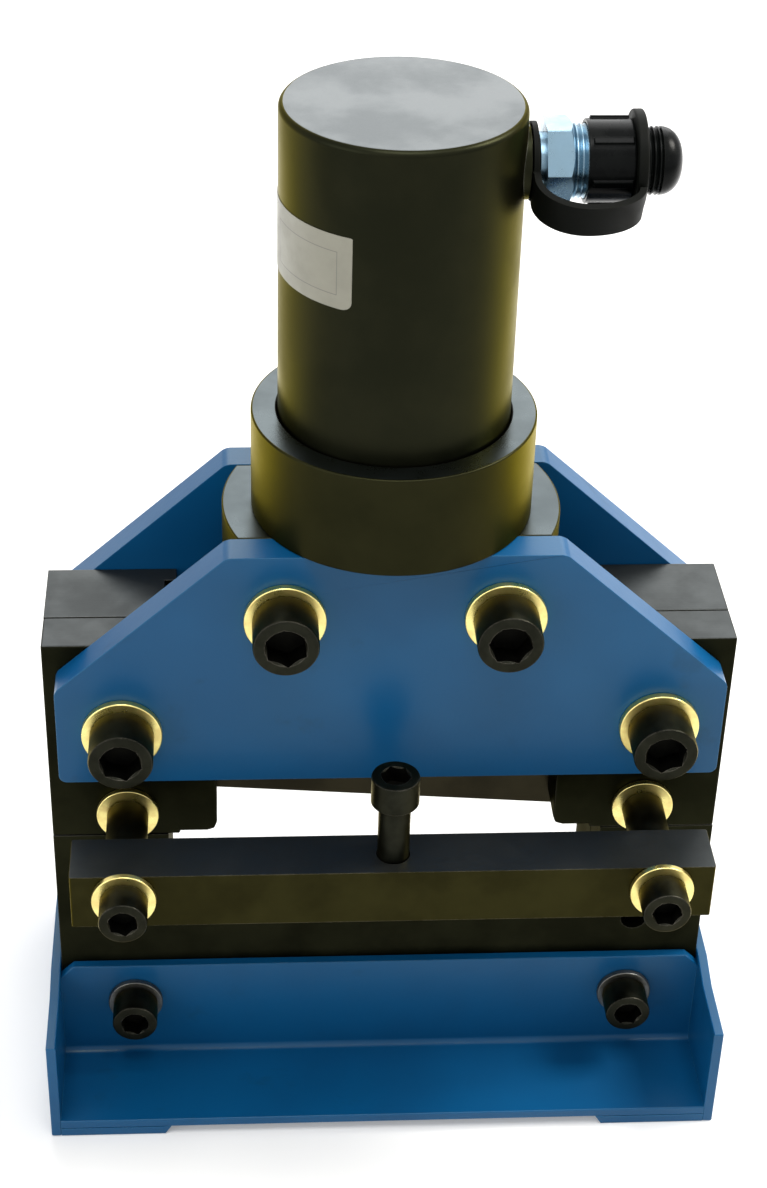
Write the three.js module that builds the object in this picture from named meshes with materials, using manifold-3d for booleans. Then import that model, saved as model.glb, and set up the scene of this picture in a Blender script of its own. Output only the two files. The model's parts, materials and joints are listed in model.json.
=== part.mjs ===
// Hydraulic busbar cutter: a bench-top shear for copper and aluminium bars.
// Millimetres, +Z up. The ram axis is vertical, the operator stands on the -Y side
// and the oil coupler points along +X.
import * as THREE from 'three';
import Module from 'manifold-3d';
import { mergeVertices } from 'three/addons/utils/BufferGeometryUtils.js';

const wasm = await Module();
wasm.setup();

// Running and seating clearances shared by every pair of pieces
const fitGap = 0.3;
const overrun = 2;

// Facets round a turned piece, a screw and a small hole
const turnedFacets = 36;
const screwFacets = 16;
const holeFacets = 16;
const cornerFacets = 2;
const hexSides = 6;
const halfTurn = Math.PI;
const quarterTurn = Math.PI / 2;
const fullTurn = 2 * Math.PI;

// Sheet-metal base
const footThickness = 4;
const sheetThickness = 4;
const wallHeight = 50;
const footDepth = 141;
const endPlateHeight = 48.5;
const endPlateRise = 4;
const endPlateRiseHalf = 28;
const endPlateSlopeRun = 14;
const footStripWidth = 41.5;
const footStripChamfer = 2.5;
const wallCornerCut = 5;

// Black frame blocks
const frameWidth = 260;
const frameTopZ = 210;
const postWidth = 45;
const guideThickness = 18.7;
const guideNose = 19;
const guideBottomZ = 121;
const guideStepWidth = 4.5;
const guideStepHeight = 1.3;
const guideCorner = 4;
const postLipWidth = 4.5;
const postLipDepth = 8;
const postLipBottomZ = 90;
const carrierWebZ = 95.2;
const tappedHoleRadius = 5.25;
const tappedHoleDepth = 14;
const tappedHoleInset = 27.5;
const tappedHoleZ = 71;

// Blue side plates
const plateGap = 52;
const plateThickness = 13;
const plateInset = 5;
const plateTopWidth = 122;
const plateBottomZ = 156.5;
const plateShoulderZ = 198.5;
const plateTopZ = 256.5;
const plateCorner = 2;
const plateFootCorner = 3;

// Blades
const lowerBladeTopZ = 96;
const lowerBladeHeight = 36;
const lowerBladeThickness = 10;
const upperBladeThickness = 12;
const upperBladeEdgeZ = 122.3;
const shearSlopeShare = 0.0787;
const upperBladeTopZ = 165;
const holderTopZ = 200;
const holderLegBottomZ = 140;
const bladeScrewInset = 34.4;
const bladeScrewZ = 152;
const lowerBladeScrewInset = 39.7;
const lowerBladeScrewZ = 78;

// Cylinder
const flangeLedge = 10.8;
const flangeThickness = 50;
const collarWall = 9.7;
const collarHeight = 39.3;
const barrelRadius = 42;
const barrelTopZ = 412;
const barrelFillet = 2.2;
const filletShare = 1 / 3;
const barrelWall = 9.5;
const barrelCrown = 15;
const collarChamfer = 1.6;
const collarEdge = 1.2;
const rodRadius = 19;
const pistonLength = 24;
const pistonTopGap = 11;
const pistonRunningGap = 0.35;
const sealHeight = 5;
const sealDepth = 3.6;
const spigotRadius = 12;
const spigotLength = 18;
const bushWall = 5;
const bushLip = 5;
const ramPinRadius = 4;
const springWireRadius = 2.25;
const springTurns = 8;
const springTurnSteps = 12;
const springWireFacets = 5;

// Oil coupler and its dust cap, on an axis below the top of the barrel
const couplerDrop = 21.3;
const bossRadius = 13;
const bossProud = 1;
const strapEyeThickness = 2;
const strapEyeRadius = 13.4;
const neckRadius = 9.8;
const neckLength = 2.2;
const hexLength = 9.5;
const hexFlats = 27;
const hexTurn = THREE.MathUtils.degToRad(33.2);
const couplerThreadRadius = 12.6;
const couplerBodyLength = 12.7;
const couplerPitch = 1.8;
const threadDepth = 0.8;
const portSpigotRadius = 7;
const portSpigotLength = 9;
const oilBoreRadius = 3;
const sleeveStart = 4.5;
const sleeveLength = 15.7;
const sleeveRadius = 15.2;
const sleeveRibs = 6;
const sleeveRibDepth = 1;
const sleeveRibSteps = 8;
const sleeveRibCrest = 2;
const capEyeThickness = 3.7;
const capEyeRadius = 17.4;
const plugInnerLength = 7;
const plugThreadLength = 5.6;
const plugThreadRadius = 11.6;
const plugDome = 7.8;
const plugDomeSteps = 4;
const strapWidth = 14;
const strapThickness = 2.4;
const strapSag = 13;
const strapTurn = THREE.MathUtils.degToRad(65);
const strapSteps = 12;

// Hold-down bar and its screw
const barInset = 9.6;
const barDepth = 22;
const barHeight = 24;
const barBottomZ = 117;
const barScrewHeightShare = 7 / 12;
const barStandOff = 25.8;
const standOffRadius = 8;
const holdDownHeadLift = 25;
const padRadius = 5;
const padThickness = 3.2;
const padSocketDepth = 1.8;
const padNoseRadius = 3;

// Socket-head screws: shank radius, head radius, head height, key width
const m16 = { shank: 8, head: 12, height: 16, key: 14 };
const m12 = { shank: 6, head: 9, height: 12, key: 10 };
const m8 = { shank: 4, head: 6.5, height: 8, key: 6 };
const m6 = { shank: 3, head: 5, height: 6, key: 5 };
const keyDepthShare = 0.55;

// Flat washers: outer radius and thickness
const washer16 = { outer: 15, thick: 3 };
const washer12 = { outer: 12, thick: 2.5 };
const washerBase = { outer: 11, thick: 2.5 };

// Screw places and the depth that each row's tips reach
const upperScrewInset = 22.4;
const upperScrewZ = 230.5;
const lowerScrewInset = 29.4;
const lowerScrewZ = 180;
const barScrewInset = 29.5;
const baseScrewInset = 29.6;
const baseScrewZ = 36;
const screwTipGap = 3;

// Levels and faces worked out from the sizes above
const frameBottomZ = footThickness + fitGap;
const wallTopZ = footThickness + wallHeight;
const innerFace = plateGap / 2;
const outerFace = innerFace + plateThickness;
const frameFace = innerFace - fitGap;
const seamY = guideThickness - frameFace;
const postFrontY = seamY + fitGap;
const frameHalf = frameWidth / 2;
const throatHalf = frameHalf - postWidth;
const guideInnerX = throatHalf - guideNose;
const wallFaceY = innerFace + sheetThickness;
const footHalf = footDepth / 2;
const endPlateInnerX = frameHalf + fitGap;
const baseHalf = endPlateInnerX + sheetThickness;
const collarRadius = barrelRadius + collarWall;
const flangeRadius = collarRadius + flangeLedge;
const upperScrewX = flangeRadius - upperScrewInset;
const barrelBoreRadius = barrelRadius - barrelWall;
const springMeanRadius = (rodRadius + barrelBoreRadius) / 2;
const bossFaceX = barrelRadius + bossProud;
const flangeTopZ = plateTopZ;
const flangeBottomZ = flangeTopZ - flangeThickness;
const collarTopZ = flangeTopZ + collarHeight;
const barrelBottomZ = flangeTopZ + fitGap;
const chamberTopZ = barrelTopZ - barrelCrown;
const pistonTopZ = chamberTopZ - pistonTopGap;
const pistonBottomZ = pistonTopZ - pistonLength;
const pistonRadius = barrelBoreRadius - pistonRunningGap;
const sealTopZ = pistonTopZ - pistonLength / 2 + sealHeight / 2;
const couplerZ = barrelTopZ - couplerDrop;
const holderHalf = throatHalf - 2 * fitGap;
const lowerBladeHalf = throatHalf - fitGap;
const lowerScrewX = frameHalf - lowerScrewInset;
const barScrewX = frameHalf - barScrewInset;
const baseScrewX = frameHalf - baseScrewInset;
const tappedHoleX = frameHalf - tappedHoleInset;
const bladeScrewX = holderHalf - bladeScrewInset;
const lowerBladeScrewX = lowerBladeHalf - lowerBladeScrewInset;
const barBackY = -frameFace - barStandOff - washer12.thick;
const barFrontY = barBackY - barDepth;
const barMidY = barBackY - barDepth / 2;
const barTopZ = barBottomZ + barHeight;
const barScrewZ = barBottomZ + barHeight * barScrewHeightShare;

// The part stands with the middle of its outline over the origin
const frontReach = fitGap + washer12.thick + m12.height - barFrontY;
const machineShiftY = (frontReach - footHalf) / 2;

const finishes = {
  black: { color: 0x24221b, roughness: 0.45, metalness: 0.75 },
  blue: { color: 0x1463a8, roughness: 0.4, metalness: 0.0 },
  screw: { color: 0x1b1a17, roughness: 0.4, metalness: 0.7 },
  zinc: { color: 0xb9c0c4, roughness: 0.3, metalness: 0.9 },
  yellowZinc: { color: 0xb8a552, roughness: 0.35, metalness: 0.85 },
  bladeSteel: { color: 0x4a4840, roughness: 0.35, metalness: 0.85 },
  brightSteel: { color: 0xa8abad, roughness: 0.25, metalness: 0.95 },
  bronze: { color: 0xa07a3c, roughness: 0.35, metalness: 0.9 },
  rubber: { color: 0x1a1a1a, roughness: 0.8, metalness: 0.0 },
  plastic: { color: 0x17181a, roughness: 0.5, metalness: 0.0 },
};

const machine = new THREE.Group();
machine.position.y = machineShiftY;

function addPiece(name, geometry, finish) {
  const mesh = new THREE.Mesh(geometry, new THREE.MeshStandardMaterial(finishes[finish]));
  mesh.name = name;
  machine.add(mesh);
  return mesh;
}

// Closed mesh to solid and back, for the boolean cuts and joins
function toSolid(geometry) {
  const bare = geometry.clone();
  bare.deleteAttribute('normal');
  bare.deleteAttribute('uv');
  const merged = mergeVertices(bare);
  return new wasm.Manifold(new wasm.Mesh({
    numProp: 3,
    vertProperties: new Float32Array(merged.attributes.position.array),
    triVerts: new Uint32Array(merged.index.array),
  }));
}

function toGeometry(solid) {
  const mesh = solid.getMesh();
  const geometry = new THREE.BufferGeometry();
  geometry.setAttribute('position', new THREE.BufferAttribute(mesh.vertProperties, 3));
  geometry.setIndex(new THREE.BufferAttribute(mesh.triVerts, 1));
  const faceted = geometry.toNonIndexed();
  faceted.computeVertexNormals();
  return faceted;
}

function cut(geometry, cutters) {
  return toGeometry(cutters.reduce((solid, cutter) => solid.subtract(toSolid(cutter)), toSolid(geometry)));
}

function join(geometries) {
  return toGeometry(geometries.map(toSolid).reduce((solid, other) => solid.add(other)));
}

// Box between two corners
function block(low, high) {
  const size = high.map((value, axis) => value - low[axis]);
  const geometry = new THREE.BoxGeometry(...size);
  return geometry.translate(...high.map((value, axis) => (value + low[axis]) / 2));
}

// Straight rods along Y and X between two places
function rodY(x, z, radius, fromY, toY, facets = holeFacets) {
  const geometry = new THREE.CylinderGeometry(radius, radius, toY - fromY, facets);
  return geometry.translate(x, (fromY + toY) / 2, z);
}

function rodX(y, z, radius, fromX, toX, facets = holeFacets) {
  const geometry = new THREE.CylinderGeometry(radius, radius, toX - fromX, facets);
  return geometry.rotateZ(quarterTurn).translate((fromX + toX) / 2, y, z);
}

function rodZ(x, y, radius, fromZ, toZ, facets = holeFacets) {
  const geometry = new THREE.CylinderGeometry(radius, radius, toZ - fromZ, facets);
  return geometry.rotateX(quarterTurn).translate(x, y, (fromZ + toZ) / 2);
}

// Turned piece about the Z axis from a closed list of [radius, height] points
function turned(profile, facets = turnedFacets) {
  const points = profile.map(([radius, height]) => new THREE.Vector2(radius, height));
  if (profile[0][0] > 0) points.push(points[0].clone());
  return new THREE.LatheGeometry(points, facets).rotateX(quarterTurn);
}

// The same profile turned about the coupler axis, with heights along +X
function turnedAlongX(profile, facets = turnedFacets) {
  return turned(profile, facets).rotateY(quarterTurn).translate(0, 0, couplerZ);
}

// Points evenly round a circle, and shapes made from plain lists of points
function ringPoints(count, radiusOf) {
  return Array.from({ length: count }, (_, step) => {
    const angle = step / count * fullTurn;
    return [radiusOf(step) * Math.cos(angle), radiusOf(step) * Math.sin(angle)];
  });
}

const toVectors = (points) => points.map(([x, z]) => new THREE.Vector2(x, z));

// Outline with rounded corners: each corner is [x, z] or [x, z, radius]
function roundedShape(corners) {
  const shape = new THREE.Shape();
  corners.forEach(([x, z, radius = 0], index) => {
    const corner = new THREE.Vector2(x, z);
    const before = new THREE.Vector2(...corners.at(index - 1));
    const after = new THREE.Vector2(...corners[(index + 1) % corners.length]);
    const start = before.sub(corner).setLength(radius).add(corner);
    const end = after.sub(corner).setLength(radius).add(corner);
    if (index === 0) shape.moveTo(start.x, start.y);
    else shape.lineTo(start.x, start.y);
    if (radius > 0) shape.quadraticCurveTo(corner.x, corner.y, end.x, end.y);
  });
  shape.closePath();
  return shape;
}

// Upright slab: an outline in X and Z, between two Y faces, with round holes along Y
function slab(corners, frontY, backY, holes = []) {
  const shape = roundedShape(corners);
  for (const [x, z, radius] of holes) {
    const rim = ringPoints(holeFacets, () => radius).map(([right, up]) => [x + right, z + up]);
    shape.holes.push(new THREE.Path(toVectors(rim)));
  }
  const options = { depth: backY - frontY, bevelEnabled: false, curveSegments: cornerFacets };
  return new THREE.ExtrudeGeometry(shape, options).rotateX(quarterTurn).translate(0, backY, 0);
}

// Long section: an outline in Y and Z, run along X
function section(corners, fromX, toX) {
  const options = { depth: toX - fromX, bevelEnabled: false, curveSegments: cornerFacets };
  const geometry = new THREE.ExtrudeGeometry(roundedShape(corners), options);
  return geometry.rotateX(quarterTurn).rotateZ(quarterTurn).translate(fromX, 0, 0);
}

// Mirror a list of outline corners left to right, keeping its direction
const mirrored = (corners) => corners.map(([x, ...rest]) => [-x, ...rest]).reverse();

// Socket-head cap screw standing on the Z axis: head seat at zero, head above, shank below.
// A captive washer, if it has one, lies under the head.
function capScrew(size, length, washer = null) {
  const shoulder = washer
    ? [[size.shank, -washer.thick], [washer.outer, -washer.thick], [washer.outer, 0]]
    : [[size.shank, 0]];
  const body = turned([
    [0, -length], [size.shank, -length], ...shoulder, [size.head, 0], [size.head, size.height],
    [0, size.height],
  ], screwFacets);
  const keyCorner = size.key / Math.sqrt(3);
  const keyDepth = size.height * keyDepthShare;
  const key = new THREE.CylinderGeometry(keyCorner, keyCorner, keyDepth + overrun, hexSides);
  key.rotateX(quarterTurn).translate(0, 0, size.height - keyDepth + (keyDepth + overrun) / 2);
  return cut(body, [key]);
}

function washerRing(size, bore) {
  return turned([
    [bore, 0], [size.outer, 0], [size.outer, size.thick], [bore, size.thick],
  ], screwFacets);
}

// Screw and washer on one face: side -1 is the front and +1 the back
function placeAlongY(geometry, side, x, faceY, z) {
  const turn = side < 0 ? quarterTurn : -quarterTurn;
  return geometry.rotateX(turn).translate(x, faceY, z);
}

const clearHole = (size) => size.shank + fitGap;

function addScrewAndWasher(names, size, washer, side, x, faceY, z, tipY) {
  const seatY = faceY + side * (washer.thick + fitGap);
  const screw = capScrew(size, Math.abs(seatY - tipY));
  addPiece(names[0], placeAlongY(screw, side, x, seatY, z), 'screw');
  const ring = washerRing(washer, clearHole(size));
  addPiece(names[1], placeAlongY(ring, side, x, faceY + side * fitGap / 2, z), 'yellowZinc');
}

// Screw whose washer is captive on the shank, made as one piece
function addWasheredScrew(name, size, washer, side, x, faceY, z, tipY) {
  const seatY = faceY + side * (washer.thick + fitGap);
  const screw = capScrew(size, Math.abs(seatY - tipY), washer);
  addPiece(name, placeAlongY(screw, side, x, seatY, z), 'screw');
}

const sides = [['left', -1], ['right', 1]];

// Base: two angle sections, two end plates and two foot strips
function buildBase() {
  const angle = [
    [-footHalf, footThickness], [-innerFace, footThickness], [-innerFace, wallTopZ],
    [-wallFaceY, wallTopZ], [-wallFaceY, footThickness + sheetThickness, sheetThickness],
    [-footHalf, footThickness + sheetThickness],
  ];
  const places = [['front', -1], ['rear', 1]];
  for (const [end, side] of places) {
    const outline = side < 0 ? angle : mirrored(angle);
    const sheet = section(outline, -frameHalf, frameHalf);
    const faces = [-wallFaceY, -innerFace].map((face) => face * -side).sort((a, b) => a - b);
    const cutters = sides.map(([, hand]) => rodY(
      hand * baseScrewX, baseScrewZ, clearHole(m12), faces[0] - overrun, faces[1] + overrun));
    for (const [, hand] of sides) {
      const corner = [
        [hand * (frameHalf + overrun), wallTopZ - wallCornerCut - overrun],
        [hand * (frameHalf + overrun), wallTopZ + overrun],
        [hand * (frameHalf - wallCornerCut - overrun), wallTopZ + overrun],
      ];
      const ordered = hand > 0 ? corner : corner.reverse();
      cutters.push(slab(ordered, faces[0] - overrun, faces[1] + overrun));
    }
    addPiece(`base_${end}_angle`, cut(sheet, cutters), 'blue');
  }
  const endOutline = [
    [-footHalf, 0], [footHalf, 0], [footHalf, endPlateHeight],
    [endPlateRiseHalf + endPlateSlopeRun, endPlateHeight],
    [endPlateRiseHalf, endPlateHeight + endPlateRise],
    [-endPlateRiseHalf, endPlateHeight + endPlateRise],
    [-endPlateRiseHalf - endPlateSlopeRun, endPlateHeight],
    [-footHalf, endPlateHeight],
  ];
  for (const [hand, side] of sides) {
    const edges = [side * endPlateInnerX, side * baseHalf].sort((a, b) => a - b);
    addPiece(`base_${hand}_end_plate`, section(endOutline, ...edges), 'blue');
    const outer = side * frameHalf;
    const inner = side * (frameHalf - footStripWidth);
    const strip = [
      [outer, 0], [outer, footThickness - fitGap], [inner - side * footStripChamfer, footThickness - fitGap],
      [inner, 0],
    ];
    addPiece(`${hand}_foot_strip`, slab(side < 0 ? strip.reverse() : strip, -footHalf, footHalf), 'blue');
  }
}

// Frame blocks: rear posts, front guides and the carrier of the lower blade
function buildFrame() {
  const m16Hole = clearHole(m16);
  const m12Hole = clearHole(m12);
  for (const [hand, side] of sides) {
    const post = block(
      [Math.min(side * throatHalf, side * frameHalf), postFrontY, frameBottomZ],
      [Math.max(side * throatHalf, side * frameHalf), frameFace, frameTopZ]);
    const lipInner = side * (throatHalf - postLipWidth);
    const lipOuter = side * (throatHalf + overrun);
    const lip = block(
      [Math.min(lipInner, lipOuter), frameFace - postLipDepth, postLipBottomZ],
      [Math.max(lipInner, lipOuter), frameFace, frameTopZ]);
    const postHoles = [
      [lowerScrewX, lowerScrewZ, m16Hole, frameFace + overrun],
      [barScrewX, barScrewZ, m12Hole, 2 * screwTipGap],
      [baseScrewX, baseScrewZ, m12Hole, frameFace + overrun],
    ].map(([x, z, radius, endY]) => rodY(side * x, z, radius, postFrontY - overrun, endY));
    addPiece(`${hand}_rear_post`, cut(join([post, lip]), postHoles), 'black');

    const guide = [
      [frameHalf, guideBottomZ - guideStepHeight], [frameHalf, frameTopZ], [guideInnerX, frameTopZ],
      [guideInnerX, guideBottomZ, guideCorner], [throatHalf - guideStepWidth, guideBottomZ],
      [throatHalf - guideStepWidth, guideBottomZ - guideStepHeight],
    ];
    const guideHoles = [
      [side * lowerScrewX, lowerScrewZ, m16Hole], [side * barScrewX, barScrewZ, m12Hole],
    ];
    const outline = side > 0 ? guide : mirrored(guide);
    addPiece(`${hand}_front_guide`, slab(outline, -frameFace, seamY, guideHoles), 'black');
  }

  const towerTopZ = guideBottomZ - guideStepHeight - fitGap;
  const carrier = [
    [-frameHalf, frameBottomZ], [frameHalf, frameBottomZ], [frameHalf, towerTopZ],
    [throatHalf, towerTopZ], [throatHalf, carrierWebZ], [-throatHalf, carrierWebZ],
    [-throatHalf, towerTopZ], [-frameHalf, towerTopZ],
  ];
  const bladeFrontY = seamY - lowerBladeThickness;
  const bladeBottomZ = lowerBladeTopZ - lowerBladeHeight;
  const holes = sides.map(([, side]) => [side * baseScrewX, baseScrewZ, m12Hole]);
  const cutters = [block(
    [-throatHalf, bladeFrontY - fitGap, bladeBottomZ - fitGap],
    [throatHalf, seamY + overrun, carrierWebZ + overrun])];
  for (const [, side] of sides) {
    cutters.push(rodY(
      side * tappedHoleX, tappedHoleZ, tappedHoleRadius, -frameFace - overrun, tappedHoleDepth - frameFace));
    cutters.push(rodY(
      side * lowerBladeScrewX, lowerBladeScrewZ, clearHole(m6), -frameFace - overrun, seamY));
    cutters.push(rodY(
      side * lowerBladeScrewX, lowerBladeScrewZ, m6.head + 2 * fitGap,
      -frameFace - overrun, m6.height + fitGap - frameFace));
  }
  const carrierSlab = slab(carrier, -frameFace, seamY, holes);
  addPiece('lower_blade_carrier', cut(carrierSlab, cutters), 'black');

  const bladeOutline = [
    [-lowerBladeHalf, bladeBottomZ], [lowerBladeHalf, bladeBottomZ], [lowerBladeHalf, lowerBladeTopZ],
    [-lowerBladeHalf, lowerBladeTopZ],
  ];
  const bladeHoles = sides.map(([, side]) => [side * lowerBladeScrewX, lowerBladeScrewZ, clearHole(m6)]);
  addPiece('lower_blade', slab(bladeOutline, bladeFrontY, seamY, bladeHoles), 'bladeSteel');
  for (const [hand, side] of sides) {
    const seatY = m6.height - frameFace;
    const screw = capScrew(m6, seamY - fitGap - seatY);
    addPiece(`lower_blade_screw_${hand}`, placeAlongY(screw, -1, side * lowerBladeScrewX, seatY,
      lowerBladeScrewZ), 'screw');
  }
}

// Two identical blue plates that clamp the cylinder flange and the posts
function buildPlates() {
  const plateHalf = frameHalf - plateInset;
  const topHalf = plateTopWidth / 2;
  const outline = [
    [-plateHalf, plateBottomZ, plateFootCorner], [plateHalf, plateBottomZ, plateFootCorner],
    [plateHalf, plateShoulderZ, plateCorner], [topHalf, plateTopZ, plateCorner],
    [-topHalf, plateTopZ, plateCorner], [-plateHalf, plateShoulderZ, plateCorner],
  ];
  const holes = sides.flatMap(([, side]) => [
    [side * upperScrewX, upperScrewZ, clearHole(m16)], [side * lowerScrewX, lowerScrewZ, clearHole(m16)],
  ]);
  addPiece('front_plate', slab(outline, -outerFace, -innerFace, holes), 'blue');
  addPiece('rear_plate', slab(outline, innerFace, outerFace, holes), 'blue');

  const rows = [
    ['upper', upperScrewX, upperScrewZ, screwTipGap],
    ['lower', lowerScrewX, lowerScrewZ, screwTipGap / 2],
  ];
  for (const [row, x, z, tip] of rows) {
    for (const [hand, side] of sides) {
      const names = [`front_${row}_screw_${hand}`, `front_${row}_washer_${hand}`];
      addScrewAndWasher(names, m16, washer16, -1, side * x, -outerFace, z, -tip);
      addWasheredScrew(`rear_${row}_screw_${hand}`, m16, washer16, 1, side * x, outerFace, z, tip);
    }
  }
  for (const [hand, side] of sides) {
    addWasheredScrew(`base_front_screw_${hand}`, m12, washerBase, -1, side * baseScrewX,
      -wallFaceY, baseScrewZ, -screwTipGap / 2);
    addWasheredScrew(`base_rear_screw_${hand}`, m12, washerBase, 1, side * baseScrewX,
      wallFaceY, baseScrewZ, screwTipGap / 2);
  }
}

// Cylinder: flange, collar, barrel, rod bush, ram, seal and return spring
function buildCylinder() {
  const bushBore = rodRadius + fitGap;
  const bushOuter = bushBore + bushWall;
  const flangeBore = bushOuter + fitGap;
  const disc = turned([
    [flangeBore, flangeBottomZ], [flangeRadius, flangeBottomZ], [flangeRadius, flangeTopZ],
    [flangeBore, flangeTopZ],
  ]);
  const flats = [-1, 1].map((side) => {
    const faces = [side * frameFace, side * (flangeRadius + overrun)].sort((a, b) => a - b);
    const reach = flangeRadius + overrun;
    return block([-reach, faces[0], flangeBottomZ - overrun], [reach, faces[1], flangeTopZ + overrun]);
  });
  const screwHoles = [-1, 1].flatMap((end) => sides.map(([, side]) => {
    const faces = [end * (frameFace + overrun), end * fitGap].sort((a, b) => a - b);
    return rodY(side * upperScrewX, upperScrewZ, clearHole(m16), ...faces);
  }));
  addPiece('cylinder_flange', cut(disc, [...flats, ...screwHoles]), 'black');

  const bushTopZ = flangeTopZ + bushLip;
  addPiece('rod_bush', turned([
    [bushBore, flangeBottomZ + fitGap], [bushOuter, flangeBottomZ + fitGap], [bushOuter, flangeTopZ + fitGap],
    [barrelBoreRadius - fitGap, flangeTopZ + fitGap], [barrelBoreRadius - fitGap, bushTopZ],
    [bushBore, bushTopZ],
  ]), 'bronze');

  const collarBore = barrelRadius + fitGap;
  addPiece('cylinder_collar', turned([
    [collarBore, flangeTopZ], [collarRadius - collarEdge, flangeTopZ], [collarRadius, flangeTopZ + collarEdge],
    [collarRadius, collarTopZ - collarEdge], [collarRadius - collarEdge, collarTopZ],
    [collarBore + collarChamfer, collarTopZ], [collarBore, collarTopZ - collarChamfer],
  ]), 'black');

  const crown = [barrelFillet * filletShare, barrelFillet];
  const cup = turned([
    [barrelBoreRadius, barrelBottomZ], [barrelRadius, barrelBottomZ], [barrelRadius, barrelTopZ - crown[1]],
    [barrelRadius - crown[0], barrelTopZ - crown[0]], [barrelRadius - crown[1], barrelTopZ],
    [0, barrelTopZ], [0, chamberTopZ], [barrelBoreRadius, chamberTopZ],
  ]);
  const boss = rodX(0, couplerZ, bossRadius, (barrelRadius + barrelBoreRadius) / 2, bossFaceX, screwFacets);
  const socket = rodX(0, couplerZ, portSpigotRadius + fitGap,
    bossFaceX - portSpigotLength - fitGap, bossFaceX + overrun);
  const oilWay = rodX(0, couplerZ, oilBoreRadius, barrelBoreRadius - overrun, bossFaceX);
  addPiece('cylinder_barrel', cut(join([cup, boss]), [socket, oilWay]), 'black');

  const grooveRadius = pistonRadius - sealDepth;
  const spigotBottomZ = holderTopZ - spigotLength;
  const ramBlank = turned([
    [0, spigotBottomZ], [spigotRadius, spigotBottomZ], [spigotRadius, holderTopZ + fitGap],
    [rodRadius, holderTopZ + fitGap], [rodRadius, pistonBottomZ], [pistonRadius, pistonBottomZ],
    [pistonRadius, sealTopZ - sealHeight], [grooveRadius, sealTopZ - sealHeight], [grooveRadius, sealTopZ],
    [pistonRadius, sealTopZ], [pistonRadius, pistonTopZ], [0, pistonTopZ],
  ]);
  const ramPinZ = holderTopZ - spigotLength / 2;
  const pinHole = rodY(0, ramPinZ, ramPinRadius + fitGap, -spigotRadius - overrun, spigotRadius + overrun);
  addPiece('ram', cut(ramBlank, [pinHole]), 'brightSteel');
  addPiece('piston_seal', turned([
    [grooveRadius + fitGap, sealTopZ - sealHeight + fitGap], [pistonRadius, sealTopZ - sealHeight + fitGap],
    [pistonRadius, sealTopZ - fitGap], [grooveRadius + fitGap, sealTopZ - fitGap],
  ]), 'rubber');

  const springLow = bushTopZ + springWireRadius + fitGap;
  const springHigh = pistonBottomZ - springWireRadius - fitGap;
  class Helix extends THREE.Curve {
    getPoint(share, target = new THREE.Vector3()) {
      const angle = share * springTurns * fullTurn;
      return target.set(
        springMeanRadius * Math.cos(angle), springMeanRadius * Math.sin(angle),
        springLow + share * (springHigh - springLow));
    }
  }
  const wire = new THREE.Shape(toVectors(ringPoints(springWireFacets, () => springWireRadius)));
  addPiece('return_spring', new THREE.ExtrudeGeometry(wire, {
    steps: springTurns * springTurnSteps, extrudePath: new Helix(), bevelEnabled: false,
  }), 'brightSteel');
}

// Upper blade, its holder, the two clamping screws and the pin of the ram
function buildRamHead() {
  const bladeBackY = postFrontY + upperBladeThickness;
  const edgeDrop = holderHalf * shearSlopeShare;
  const bladeOutline = [
    [-holderHalf, upperBladeEdgeZ + edgeDrop], [holderHalf, upperBladeEdgeZ - edgeDrop],
    [holderHalf, upperBladeTopZ], [-holderHalf, upperBladeTopZ],
  ];
  const bladeHoles = sides.map(([, side]) => [side * bladeScrewX, bladeScrewZ, clearHole(m8)]);
  addPiece('upper_blade', slab(bladeOutline, postFrontY, bladeBackY, bladeHoles), 'bladeSteel');

  const holderBackY = frameFace - fitGap;
  const lipFaceY = frameFace - postLipDepth - fitGap;
  const wide = join([
    block([-holderHalf, postFrontY, upperBladeTopZ + fitGap], [holderHalf, lipFaceY, holderTopZ]),
    block([-holderHalf, bladeBackY + fitGap, holderLegBottomZ], [holderHalf, lipFaceY, holderTopZ]),
    block([-holderHalf + postLipWidth, bladeBackY + fitGap, holderLegBottomZ],
      [holderHalf - postLipWidth, holderBackY, holderTopZ]),
  ]);
  const ramPinZ = holderTopZ - spigotLength / 2;
  const cutters = [
    rodZ(0, 0, spigotRadius + fitGap, holderTopZ - spigotLength - fitGap, holderTopZ + overrun, turnedFacets),
    rodY(0, ramPinZ, ramPinRadius + fitGap, postFrontY - overrun, holderBackY + overrun),
  ];
  for (const [hand, side] of sides) {
    const seatY = holderBackY - m8.height - fitGap;
    cutters.push(rodY(side * bladeScrewX, bladeScrewZ, clearHole(m8), postFrontY, holderBackY + overrun));
    cutters.push(rodY(side * bladeScrewX, bladeScrewZ, m8.head + 2 * fitGap, seatY - fitGap,
      holderBackY + overrun));
    const screw = capScrew(m8, seatY - postFrontY - fitGap);
    addPiece(`upper_blade_screw_${hand}`, placeAlongY(screw, 1, side * bladeScrewX, seatY, bladeScrewZ),
      'screw');
  }
  addPiece('blade_holder', cut(wide, cutters), 'black');
  addPiece('ram_pin', rodY(0, ramPinZ, ramPinRadius, postFrontY + fitGap, holderBackY), 'brightSteel');
}

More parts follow.
